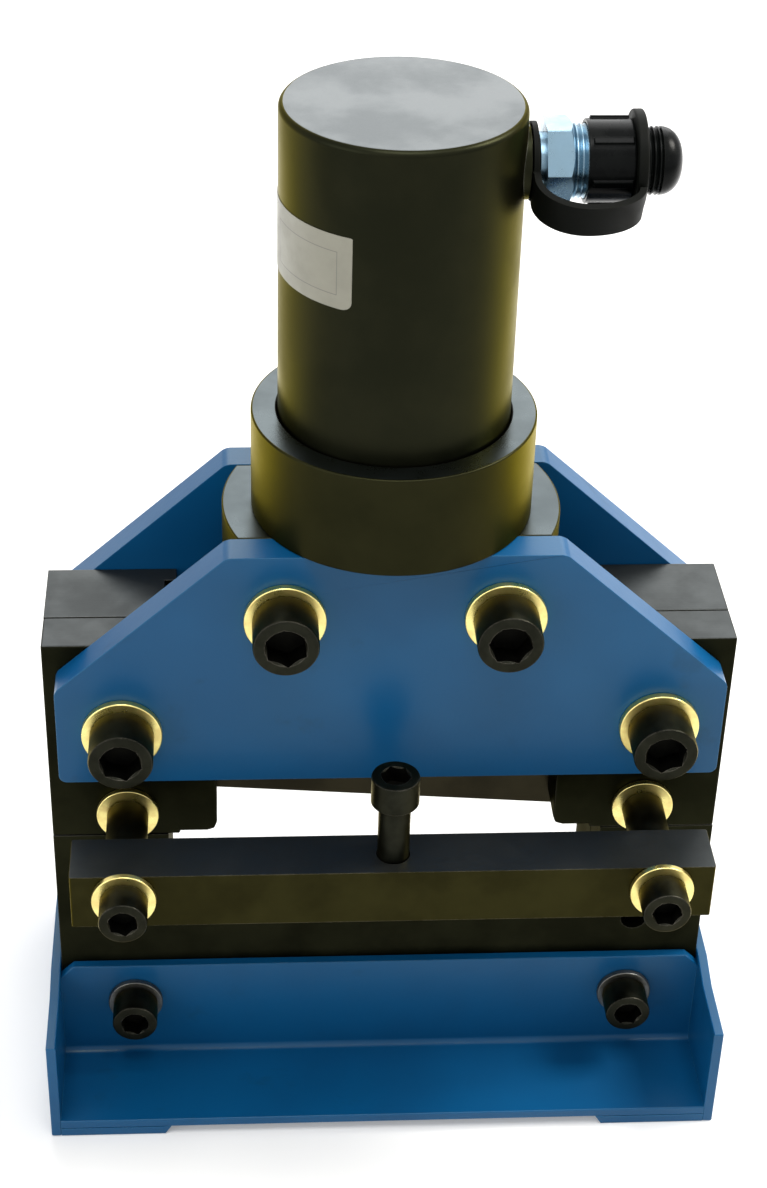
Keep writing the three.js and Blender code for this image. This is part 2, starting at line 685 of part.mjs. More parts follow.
// Hold-down bar on two sleeves, with its long screws, and the clamping screw with its pad
function buildHoldDown() {
  const barHalf = frameHalf - barInset;
  const bar = block([-barHalf, barFrontY, barBottomZ], [barHalf, barBackY, barTopZ]);
  const barHoles = sides.map(([, side]) => rodY(
    side * barScrewX, barScrewZ, clearHole(m12), barFrontY - overrun, barBackY + overrun));
  const screwHole = rodZ(0, barMidY, clearHole(m12), barBottomZ - overrun, barTopZ + overrun);
  addPiece('hold_down_bar', cut(bar, [...barHoles, screwHole]), 'black');

  for (const [hand, side] of sides) {
    const names = [`bar_screw_${hand}`, `bar_washer_${hand}`];
    addScrewAndWasher(names, m12, washer12, -1, side * barScrewX, barFrontY, barScrewZ, screwTipGap);
    const sleeve = turned([
      [clearHole(m12), 0], [standOffRadius, 0], [standOffRadius, barStandOff - 2 * fitGap],
      [clearHole(m12), barStandOff - 2 * fitGap],
    ], screwFacets);
    const sleeveY = barBackY + barStandOff - fitGap;
    addPiece(`bar_sleeve_${hand}`, placeAlongY(sleeve, -1, side * barScrewX, sleeveY, barScrewZ), 'screw');
    const ring = washerRing(washer12, clearHole(m12));
    addPiece(`sleeve_washer_${hand}`, placeAlongY(ring, -1, side * barScrewX, -frameFace - fitGap / 2,
      barScrewZ), 'yellowZinc');
  }

  const headSeatZ = barTopZ + holdDownHeadLift;
  const padTopZ = barBottomZ - 2 * fitGap;
  const tipZ = padTopZ + fitGap;
  const noseZ = padTopZ - padSocketDepth + fitGap;
  const shank = capScrew(m12, headSeatZ - tipZ).translate(0, barMidY, headSeatZ);
  const nose = rodZ(0, barMidY, padNoseRadius, noseZ, tipZ + overrun, screwFacets);
  addPiece('hold_down_screw', join([shank, nose]), 'screw');
  const pad = turned([
    [0, padTopZ - padThickness], [padRadius, padTopZ - padThickness], [padRadius, padTopZ],
    [padNoseRadius + fitGap, padTopZ], [padNoseRadius + fitGap, padTopZ - padSocketDepth],
    [0, padTopZ - padSocketDepth],
  ], screwFacets).translate(0, barMidY, 0);
  addPiece('hold_down_pad', pad, 'screw');
}

// Ridges of a screw thread as rings, between two distances along the axis
function threadProfile(radius, from, to, pitch, depth) {
  const count = Math.floor((to - from) / pitch);
  const points = [];
  for (let turn = 0; turn < count; turn += 1) {
    const start = from + turn * pitch;
    points.push([radius - depth, start], [radius, start + pitch / 2]);
  }
  points.push([radius - depth, to]);
  return points;
}

// Oil coupler: nipple, ribbed sleeve, dust plug, its eye and the strap
function buildCoupler() {
  const eyeEndX = bossFaceX + strapEyeThickness + 2 * fitGap;
  const hexStartX = eyeEndX + neckLength;
  const hexEndX = hexStartX + hexLength;
  const bodyEndX = hexEndX + couplerBodyLength;
  const nippleBlank = turnedAlongX([
    [oilBoreRadius, bossFaceX - portSpigotLength], [portSpigotRadius, bossFaceX - portSpigotLength],
    [portSpigotRadius, eyeEndX], [neckRadius, eyeEndX], [neckRadius, hexEndX],
    ...threadProfile(couplerThreadRadius, hexEndX, bodyEndX, couplerPitch, threadDepth),
    [oilBoreRadius, bodyEndX],
  ], screwFacets);
  const hexCorner = hexFlats / Math.sqrt(3);
  const hexBar = new THREE.CylinderGeometry(hexCorner, hexCorner, hexLength, hexSides);
  hexBar.rotateZ(quarterTurn).rotateX(-hexTurn).translate((hexStartX + hexEndX) / 2, 0, couplerZ);
  const bore = rodX(0, couplerZ, oilBoreRadius, hexStartX - overrun, hexEndX + overrun, screwFacets);
  addPiece('coupler_nipple', cut(join([nippleBlank, hexBar]), [bore]), 'zinc');

  const sleeveStartX = hexEndX + sleeveStart;
  const sleeveEndX = sleeveStartX + sleeveLength;
  const sleeveBore = couplerThreadRadius + fitGap;
  const ribbed = new THREE.Shape(toVectors(ringPoints(sleeveRibs * sleeveRibSteps, (step) => (
    step % sleeveRibSteps < sleeveRibCrest ? sleeveRadius : sleeveRadius - sleeveRibDepth))));
  const ring = new THREE.ExtrudeGeometry(ribbed, { depth: sleeveLength, bevelEnabled: false });
  ring.rotateY(quarterTurn).translate(sleeveStartX, 0, couplerZ);
  const sleeveHole = rodX(0, couplerZ, sleeveBore, sleeveStartX - overrun, sleeveEndX + overrun, screwFacets);
  addPiece('coupler_sleeve', cut(ring, [sleeveHole]), 'plastic');

  const capEyeX = sleeveEndX + fitGap;
  const capEyeEndX = capEyeX + capEyeThickness;
  const plugX = sleeveEndX - plugInnerLength;
  const threadX = capEyeEndX + fitGap;
  const threadEndX = threadX + plugThreadLength;
  const eyeSeat = plugThreadRadius - threadDepth;
  const dome = [];
  for (let step = 1; step < plugDomeSteps; step += 1) {
    const angle = step / plugDomeSteps * quarterTurn;
    dome.push([eyeSeat * Math.cos(angle), threadEndX + plugDome * Math.sin(angle)]);
  }
  addPiece('dust_plug', turnedAlongX([
    [0, plugX], [eyeSeat, plugX], [eyeSeat, threadX],
    ...threadProfile(plugThreadRadius, threadX, threadEndX, couplerPitch, threadDepth),
    ...dome, [0, threadEndX + plugDome],
  ], screwFacets), 'plastic');

  addPiece('dust_plug_eye', turnedAlongX([
    [eyeSeat + fitGap, capEyeX], [capEyeRadius, capEyeX], [capEyeRadius, capEyeEndX],
    [eyeSeat + fitGap, capEyeEndX],
  ], screwFacets), 'plastic');

  // The strap loops from the eye on the port in a half ellipse to just outside the cap's eye. It is
  // drawn hanging straight down from the coupler's axis and then turned forward about that axis.
  const strapStartX = bossFaceX + fitGap + strapThickness / 2;
  const strapEndX = capEyeX + capEyeThickness / 2;
  const midX = (strapStartX + strapEndX) / 2;
  const halfX = (strapEndX - strapStartX) / 2;
  const outer = [];
  const inner = [];
  for (let step = 0; step <= strapSteps; step += 1) {
    const angle = halfTurn + step / strapSteps * halfTurn;
    const endZ = step * 2 < strapSteps ? -strapEyeRadius : -capEyeRadius - fitGap;
    const drop = endZ + bossRadius + strapSag;
    outer.push([
      midX + (halfX + strapThickness / 2) * Math.cos(angle),
      endZ + (drop + strapThickness / 2) * Math.sin(angle)]);
    inner.unshift([
      midX + (halfX - strapThickness / 2) * Math.cos(angle),
      endZ + (drop - strapThickness / 2) * Math.sin(angle)]);
  }
  const strapShape = new THREE.Shape(toVectors([...outer, ...inner]));
  const band = new THREE.ExtrudeGeometry(strapShape, { depth: strapWidth, bevelEnabled: false });
  band.rotateX(quarterTurn).translate(0, strapWidth / 2, 0);
  const lug = block(
    [strapStartX - strapThickness / 2, -strapWidth / 2, -strapEyeRadius - fitGap],
    [strapStartX + strapThickness / 2, strapWidth / 2, -neckRadius - 2 * fitGap]);
  for (const piece of [band, lug]) piece.rotateX(-strapTurn).translate(0, 0, couplerZ);
  const baseEye = turnedAlongX([
    [portSpigotRadius + fitGap, bossFaceX + fitGap], [strapEyeRadius, bossFaceX + fitGap],
    [strapEyeRadius, bossFaceX + fitGap + strapEyeThickness],
    [portSpigotRadius + fitGap, bossFaceX + fitGap + strapEyeThickness],
  ], screwFacets);
  addPiece('dust_strap', join([baseEye, lug, band]), 'plastic');
}

buildBase();
buildFrame();
buildPlates();
buildCylinder();
buildRamHead();
buildHoldDown();
buildCoupler();

export default machine;
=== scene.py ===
"""Hydraulic busbar cutter, dressed for its picture. Metres, +Z up, the operator on the -Y side."""
import json
import logging
import math
from contextlib import contextmanager
from dataclasses import dataclass
from enum import Enum
from itertools import pairwise, product
from typing import Any, Callable, Iterator, Union

import bmesh
import bpy
from mathutils import Matrix, Vector

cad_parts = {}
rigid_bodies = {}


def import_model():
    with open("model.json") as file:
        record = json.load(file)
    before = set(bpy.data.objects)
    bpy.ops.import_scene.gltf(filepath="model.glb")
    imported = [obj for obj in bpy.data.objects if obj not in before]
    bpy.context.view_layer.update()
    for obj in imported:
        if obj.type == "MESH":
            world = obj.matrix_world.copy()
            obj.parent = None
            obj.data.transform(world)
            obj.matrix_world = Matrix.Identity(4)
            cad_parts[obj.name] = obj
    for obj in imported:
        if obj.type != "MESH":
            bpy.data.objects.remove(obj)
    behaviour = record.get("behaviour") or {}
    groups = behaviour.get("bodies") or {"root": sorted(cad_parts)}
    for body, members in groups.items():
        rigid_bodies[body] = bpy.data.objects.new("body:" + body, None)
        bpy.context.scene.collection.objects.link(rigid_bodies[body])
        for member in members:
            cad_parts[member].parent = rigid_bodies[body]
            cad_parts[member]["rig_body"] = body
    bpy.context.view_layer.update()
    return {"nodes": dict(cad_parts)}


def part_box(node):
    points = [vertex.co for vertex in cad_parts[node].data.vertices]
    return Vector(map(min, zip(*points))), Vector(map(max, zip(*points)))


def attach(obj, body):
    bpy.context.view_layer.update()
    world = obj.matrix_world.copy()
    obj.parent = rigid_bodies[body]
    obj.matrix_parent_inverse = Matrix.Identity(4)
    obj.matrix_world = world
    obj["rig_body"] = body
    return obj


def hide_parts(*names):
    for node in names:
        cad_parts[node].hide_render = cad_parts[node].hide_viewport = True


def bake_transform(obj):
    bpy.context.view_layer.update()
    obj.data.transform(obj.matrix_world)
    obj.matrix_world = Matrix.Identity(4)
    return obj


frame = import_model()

LOG = logging.getLogger("busbar_cutter")

Colour = tuple[float, float, float]
Point = tuple[float, float, float]
Profile = list[tuple[float, float]]
PlaceTest = Callable[[Vector, Vector], bool]

MM = 0.001
FULL_TURN = 2 * math.pi
ENDS = ("front", "rear")
SIDES = ("left", "right")
BOTH_WAYS = (-1, 1)
WHITE = (1.0, 1.0, 1.0)
# Points closer than this are one point
MERGE = 0.001 * MM
# Gap between pieces that fit together, as in the CAD model
GAP = 0.3 * MM
# Part of a direction of length 1 along an axis, above which it counts as running along it
ALIGNED = 0.9
# The same for a normal that counts as pointing straight up
STRAIGHT_UP = 0.99
# The least turn, in degrees, of an edge that is sharp enough to be broken
SHARP_TURN = 32


def body_of(node: str) -> str:
    """Returns the name of the body that a CAD node rides on."""
    return frame["nodes"][node]["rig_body"]


def box_middle(node: str) -> Vector:
    """Returns the middle of a CAD node's box."""
    low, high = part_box(node)
    return (low + high) / 2


def near(value: float, target: float) -> bool:
    """Returns whether two lengths are the same, apart from rounding."""
    return abs(value - target) < MERGE


def looks_up(middle: Vector, normal: Vector) -> bool:
    """Returns whether a face with this middle and normal looks straight up."""
    return normal.z > STRAIGHT_UP


def quarter_turn(steps: int) -> list[float]:
    """Returns the angles from zero to a right angle, in equal steps."""
    return [step / steps * math.pi / 2 for step in range(steps + 1)]


class Facing(Enum):
    """Where the head of a screw, or the axis of a turned piece, points, as a turn about an axis."""

    FRONT = (math.pi / 2, "X")
    REAR = (-math.pi / 2, "X")
    UP = (0.0, "Z")
    RIGHT = (math.pi / 2, "Y")

    def turn(self) -> Matrix:
        """Returns the rotation that brings +Z to this direction."""
        angle, axis = self.value
        return Matrix.Rotation(angle, 4, axis)

    def at(self, place: Point | Vector) -> Matrix:
        """Returns that rotation, followed by the move from the origin to a place."""
        return Matrix.Translation(place) @ self.turn()


class Shade:
    """Output socket of a shader node, with arithmetic that adds Math nodes."""

    def __init__(self, graph: "ShaderGraph", socket: bpy.types.NodeSocket) -> None:
        """Wraps an output socket of this graph."""
        self.graph = graph
        self.socket = socket

    def __add__(self, other: "Value") -> "Shade":
        """Returns the sum."""
        return self.graph.maths("ADD", self, other)

    def __radd__(self, other: "Value") -> "Shade":
        """Returns the sum with the socket on the right."""
        return self.graph.maths("ADD", other, self)

    def __sub__(self, other: "Value") -> "Shade":
        """Returns the difference."""
        return self.graph.maths("SUBTRACT", self, other)

    def __rsub__(self, other: "Value") -> "Shade":
        """Returns the difference with the socket on the right."""
        return self.graph.maths("SUBTRACT", other, self)

    def __mul__(self, other: "Value") -> "Shade":
        """Returns the product."""
        return self.graph.maths("MULTIPLY", self, other)

    def __rmul__(self, other: "Value") -> "Shade":
        """Returns the product with the socket on the right."""
        return self.graph.maths("MULTIPLY", other, self)

    def __abs__(self) -> "Shade":
        """Returns the size without its sign."""
        return self.graph.maths("ABSOLUTE", self)


Value = Union[float, Colour, Shade]


class ShaderGraph:
    """Node tree of one material or of the world."""

    def __init__(self, owner: Union[bpy.types.Material, bpy.types.World]) -> None:
        """Starts an empty tree.

        Args:
            owner: the new material or world.
        """
        self.owner = owner
        owner.use_nodes = True
        self.tree = owner.node_tree
        self.tree.nodes.clear()

    def feed(self, socket: bpy.types.NodeSocket, value: Value) -> None:
        """Gives an input socket a link, a colour or a number.

        Args:
            socket: the input socket.
            value: what goes in.
        """
        if isinstance(value, Shade):
            self.tree.links.new(value.socket, socket)
        elif isinstance(value, tuple) and socket.type == "RGBA":
            socket.default_value = (*value, 1.0)
        else:
            socket.default_value = value

    def add(self, kind: str, settings: dict[str, Any] | None = None,
            inputs: dict[int | str, Value] | None = None) -> bpy.types.Node:
        """Adds a node.

        Args:
            kind: the node's type.
            settings: properties of the node, set before its sockets.
            inputs: values or links by socket name or number.

        Returns:
            The node.
        """
        made = self.tree.nodes.new(kind)
        for name, value in (settings or {}).items():
            setattr(made, name, value)
        for name, value in (inputs or {}).items():
            self.feed(made.inputs[name], value)
        return made

    def node(self, kind: str, settings: dict[str, Any] | None = None,
             inputs: dict[int | str, Value] | None = None, output: int | str = 0) -> Shade:
        """Adds a node as add does, and returns the output socket that is named or numbered."""
        return Shade(self, self.add(kind, settings, inputs).outputs[output])

    def maths(self, operation: str, *values: Value) -> Shade:
        """Returns the result of a Math node on one to three values."""
        return self.node("ShaderNodeMath", {"operation": operation}, dict(enumerate(values)))

    def vector_maths(self, operation: str, first: Value, second: Value, output: int = 0) -> Shade:
        """Returns the result of a Vector Math node on two values."""
        return self.node("ShaderNodeVectorMath", {"operation": operation}, {0: first, 1: second}, output)

    def place(self) -> Shade:
        """Returns the place on the piece, in the object's own frame."""
        return self.node("ShaderNodeTexCoord", output="Object")

    def stretched(self, scale: Point, location: Point = (0.0, 0.0, 0.0)) -> Shade:
        """Returns the place, moved and then scaled along each axis."""
        moved = self.vector_maths("ADD", self.place(), location)
        return self.vector_maths("MULTIPLY", moved, scale)

    def axes(self, vector: Shade) -> list[Shade]:
        """Returns the three parts of a vector."""
        split = self.add("ShaderNodeSeparateXYZ", inputs={0: vector})
        return [Shade(self, output) for output in split.outputs]

    def length(self, across: Shade, along: Shade) -> Shade:
        """Returns the length of a vector with these two parts."""
        return self.maths("POWER", across * across + along * along, 0.5)

    def noise(self, vector: Shade, size: float, detail: float = 2.0, roughness: float = 0.5) -> Shade:
        """Returns a noise between 0 and 1, with lumps of about this size in metres and finer detail."""
        return self.node("ShaderNodeTexNoise", inputs={
            "Vector": vector, "Scale": 1 / size, "Detail": detail, "Roughness": roughness})

    def ramp(self, value: Shade, start: float, end: float) -> Shade:
        """Returns 0 below start and 1 above end, with a smooth rise between."""
        return self.node("ShaderNodeMapRange", {"interpolation_type": "SMOOTHSTEP"}, {
            0: value, 1: start, 2: end})

    def mix(self, factor: Value, first: Value, second: Value) -> Shade:
        """Returns the first colour where the factor is 0 and the second where it is 1."""
        return self.node("ShaderNodeMix", {"data_type": "RGBA"}, {0: factor, 6: first, 7: second}, 2)

    def bump(self, height: Shade, depth: float) -> Shade:
        """Returns a normal that is tilted by a height map from 0 to 1, as deep as this in metres."""
        return self.node("ShaderNodeBump", inputs={"Height": height, "Distance": depth, "Strength": 1.0})

    def worn_edges(self, radius: float) -> Shade:
        """Returns a mask of the corners of a piece.

        Args:
            radius: how far from an edge it reaches.

        Returns:
            0 on a flat face, rising to 1 on a sharp edge.
        """
        rounded = self.node("ShaderNodeBevel", {"samples": 4}, {"Radius": radius})
        flat = self.node("ShaderNodeNewGeometry", output="Normal")
        agreement = self.vector_maths("DOT_PRODUCT", rounded, flat, 1)
        return self.ramp(1.0 - agreement, 0.02, 0.16)

    def finish(self, **values: Value) -> bpy.types.Material:
        """Ends the graph with a surface shader.

        Args:
            **values: the shader's sockets, with underscores for the spaces in their names.

        Returns:
            The finished material.
        """
        inputs = {name.replace("_", " "): value for name, value in values.items()}
        surface = self.node("ShaderNodeBsdfPrincipled", inputs=inputs)
        self.add("ShaderNodeOutputMaterial", inputs={"Surface": surface})
        return self.owner


@dataclass(frozen=True)
class Finish:
    """Finish of a surface.

    Attributes:
        name: the material's name.
        slot: the record's slot; not used.
    """

    name: str
    slot: str

    def graph(self) -> ShaderGraph:
        """Returns the empty node tree of a new material."""
        return ShaderGraph(bpy.data.materials.new(self.name))

    def material(self) -> bpy.types.Material:
        """Returns the finished material, which each kind of finish makes its own way."""
        raise NotImplementedError


class Grain(Enum):
    """Fine lines that machining leaves."""

    TURNED = "turned"
    MILLED = "milled"
    PLAIN = "plain"


@dataclass(frozen=True)
class Steel(Finish):
    """Bare, plated or oxidised steel, or bronze.

    Attributes:
        colour: the main colour.
        cloudy: the colour that it drifts to in soft patches.
        roughness: middle roughness.
        grain: which way the machining lines run.
        rubbed: colour of the rubbed edges, if they show.
        grain_depth: depth of the machining lines.
        tint: colour of the grazing reflection; the warm and dimmed tints are painted reflections of the
            surroundings.
        patch_size: size of the soft patches.
        speck_size: size of the finest specks.
        ring_width: width of the lines that turning leaves.
        line_width: width of the other lines.
        line_share: how little the lines that milling leaves change along their length.
        rub: how far from an edge the rubbing reaches.
    """

    colour: Colour
    cloudy: Colour
    roughness: float
    grain: Grain = Grain.PLAIN
    rubbed: Colour | None = None
    grain_depth: float = 0.02 * MM
    tint: Colour = WHITE
    patch_size: float = 30 * MM
    speck_size: float = 0.45 * MM
    ring_width: float = 0.55 * MM
    line_width: float = 0.7 * MM
    line_share: float = 0.03
    rub: float = 0.7 * MM

    def lines(self, graph: ShaderGraph) -> Shade:
        """Adds the machining lines.

        Args:
            graph: the material's graph.

        Returns:
            Their height, from 0 to 1.
        """
        if self.grain is Grain.TURNED:
            axis = box_middle("cylinder_barrel")
            across, along, up = graph.axes(graph.stretched(WHITE, (-axis.x, -axis.y, 0.0)))
            rings = graph.node("ShaderNodeCombineXYZ", inputs={
                0: graph.length(across, along) + up, 1: across * 0.02})
            return graph.noise(rings, self.ring_width, 3.0, 0.6)
        scale = (self.line_share, 1.0, 1.0) if self.grain is Grain.MILLED else WHITE
        return graph.noise(graph.stretched(scale), self.line_width, 3.0, 0.6)

    def material(self) -> bpy.types.Material:
        """Makes the finish.

        Returns:
            The material.
        """
        graph = self.graph()
        place = graph.place()
        patches = graph.ramp(graph.noise(place, self.patch_size, 4.0, 0.6), 0.35, 0.68)
        specks = graph.noise(place, self.speck_size)
        colour = graph.mix(patches, self.colour, self.cloudy)
        if self.rubbed:
            edges = graph.worn_edges(self.rub) * graph.ramp(specks + patches * 0.25, 0.42, 0.72)
            colour = graph.mix(edges, colour, self.rubbed)
        rough = self.roughness - 0.05 + patches * 0.1 + specks * 0.08
        normal = graph.bump(self.lines(graph) * 0.7 + specks * 0.6, self.grain_depth)
        return graph.finish(Base_Color=colour, Metallic=1.0, Roughness=rough, Specular_Tint=self.tint,
                            Normal=normal)


@dataclass(frozen=True)
class Paint(Finish):
    """Sprayed gloss paint on sheet and plate.

    Attributes:
        colour: the paint's colour.
        deep: the colour of its thicker patches.
        chipped: the colour of the rubbed edges.
        grime: the colour of oily marks.
        roughness: middle roughness.
        tint: colour of its reflections seen straight on; its yellowish hue is a painted reflection of warm
            surroundings.
        patch_size: size of the thicker patches.
        peel_size: size of the ripples that spraying leaves.
        peel_depth: their depth.
        dust_size: size of the dust in it.
        mark_size: size of the oily marks.
        rub: how far from an edge the rubbing reaches.
    """

    colour: Colour
    deep: Colour
    chipped: Colour
    grime: Colour
    roughness: float
    tint: Colour
    patch_size: float = 70 * MM
    peel_size: float = 1.9 * MM
    peel_depth: float = 0.035 * MM
    dust_size: float = 0.6 * MM
    mark_size: float = 24 * MM
    rub: float = 0.9 * MM

    def material(self) -> bpy.types.Material:
        """Makes the finish.

        Returns:
            The material.
        """
        graph = self.graph()
        place = graph.place()
        smeared = graph.stretched((1.0, 1.6, 1.0), (0.31, 0.2, 0.1))
        patches = graph.ramp(graph.noise(place, self.patch_size, 3.0, 0.55), 0.35, 0.7)
        marks = graph.ramp(graph.noise(smeared, self.mark_size, 5.0, 0.62), 0.6, 0.74)
        peel = graph.noise(place, self.peel_size, 1.0)
        dust = graph.noise(place, self.dust_size, 3.0, 0.7)
        edges = graph.worn_edges(self.rub) * graph.ramp(dust + patches * 0.2, 0.45, 0.62)
        colour = graph.mix(patches, self.colour, self.deep)
        colour = graph.mix(marks * 0.18, colour, self.grime)
        colour = graph.mix(graph.ramp(dust, 0.7, 0.78) * 0.6, colour, self.grime)
        colour = graph.mix(edges * 0.75, colour, self.chipped)
        rough = self.roughness + patches * 0.06 + marks * 0.03 + edges * 0.2
        normal = graph.bump(peel + dust * 0.12, self.peel_depth)
        return graph.finish(Base_Color=colour, Roughness=rough, Normal=normal, Specular_Tint=self.tint,
                            Specular_IOR_Level=0.3, Coat_Weight=0.04, Coat_Roughness=0.12)


@dataclass(frozen=True)
class Plastic(Finish):
    """Moulded plastic or rubber with a fine grain.

    Attributes:
        colour: the colour.
        scuffed: the greyer colour of its edges and scuffs.
        roughness: middle roughness.
        grain_size: size of the grain.
        grain_depth: its depth.
        haze_size: size of the scuffed patches.
        rub: how far from an edge the scuffing reaches.
    """

    colour: Colour
    scuffed: Colour
    roughness: float
    grain_size: float = 0.35 * MM
    grain_depth: float = 0.02 * MM
    haze_size: float = 9 * MM
    rub: float = 0.5 * MM

    def material(self) -> bpy.types.Material:
        """Makes the finish.

        Returns:
            The material.
        """
        graph = self.graph()
        place = graph.place()
        grain = graph.noise(place, self.grain_size, 3.0, 0.6)
        haze = graph.ramp(graph.noise(place, self.haze_size, 4.0, 0.6), 0.4, 0.75)
        worn = graph.maths("MINIMUM", haze * 0.2 + graph.worn_edges(self.rub) * 0.8, 1.0)
        colour = graph.mix(worn, self.colour, self.scuffed)
        rough = self.roughness + haze * 0.12 + grain * 0.06
        return graph.finish(Base_Color=colour, Roughness=rough, Specular_IOR_Level=0.08,
                            Normal=graph.bump(grain, self.grain_depth))


@dataclass(frozen=True)
class Sticker(Finish):
    """Plain paper label with a thin frame line.

    Attributes:
        paper: the colour of the paper, darkened with painted shade.
        aged: the colour that it yellows to.
        ink: the colour of the frame line.
        radius: the barrel's radius under it.
        axis_y: the barrel's axis along Y.
        line_from: angle and height of the frame's left lower corner.
        line_to: angle and height of its right upper corner.
        line_width: the line's width.
        haze_size: size of the aged patches.
        fibre_size: size of the paper's fibres.
        crease_size: size of its creases.
        crease_depth: their depth.
    """

    paper: Colour
    aged: Colour
    ink: Colour
    radius: float
    axis_y: float
    line_from: tuple[float, float]
    line_to: tuple[float, float]
    line_width: float = 0.28 * MM
    haze_size: float = 14 * MM
    fibre_size: float = 0.5 * MM
    crease_size: float = 5 * MM
    crease_depth: float = 0.08 * MM

    def frame_line(self, graph: ShaderGraph) -> Shade:
        """Draws the frame line.

        Args:
            graph: the material's graph.

        Returns:
            1 on the line and 0 beside it.
        """
        across, along, up = graph.axes(graph.stretched(WHITE, (0.0, -self.axis_y, 0.0)))
        turn = graph.maths("ARCTAN2", across, along * -1.0)
        middle_turn = (self.line_from[0] + self.line_to[0]) / 2
        middle_up = (self.line_from[1] + self.line_to[1]) / 2
        half_width = (self.line_to[0] - self.line_from[0]) / 2 * self.radius
        half_height = (self.line_to[1] - self.line_from[1]) / 2
        beside = abs((turn - middle_turn) * self.radius) - half_width
        above = abs(up - middle_up) - half_height
        distance = abs(graph.maths("MAXIMUM", beside, above))
        return 1.0 - graph.ramp(distance, self.line_width * 0.35, self.line_width * 0.65)

    def material(self) -> bpy.types.Material:
        """Makes the finish.

        Returns:
            The material.
        """
        graph = self.graph()
        place = graph.place()
        haze = graph.ramp(graph.noise(place, self.haze_size, 4.0, 0.6), 0.35, 0.75)
        fibre = graph.noise(place, self.fibre_size, 3.0, 0.7)
        creases = graph.noise(place, self.crease_size, 3.0)
        colour = graph.mix(haze * 0.6, self.paper, self.aged)
        colour = graph.mix(graph.ramp(fibre, 0.7, 0.8) * 0.25, colour, self.ink)
        colour = graph.mix(self.frame_line(graph) * (0.6 + fibre * 0.5), colour, self.ink)
        normal = graph.bump(creases + fibre * 0.06, self.crease_depth)
        return graph.finish(Base_Color=colour, Roughness=0.42 + haze * 0.12, Normal=normal)


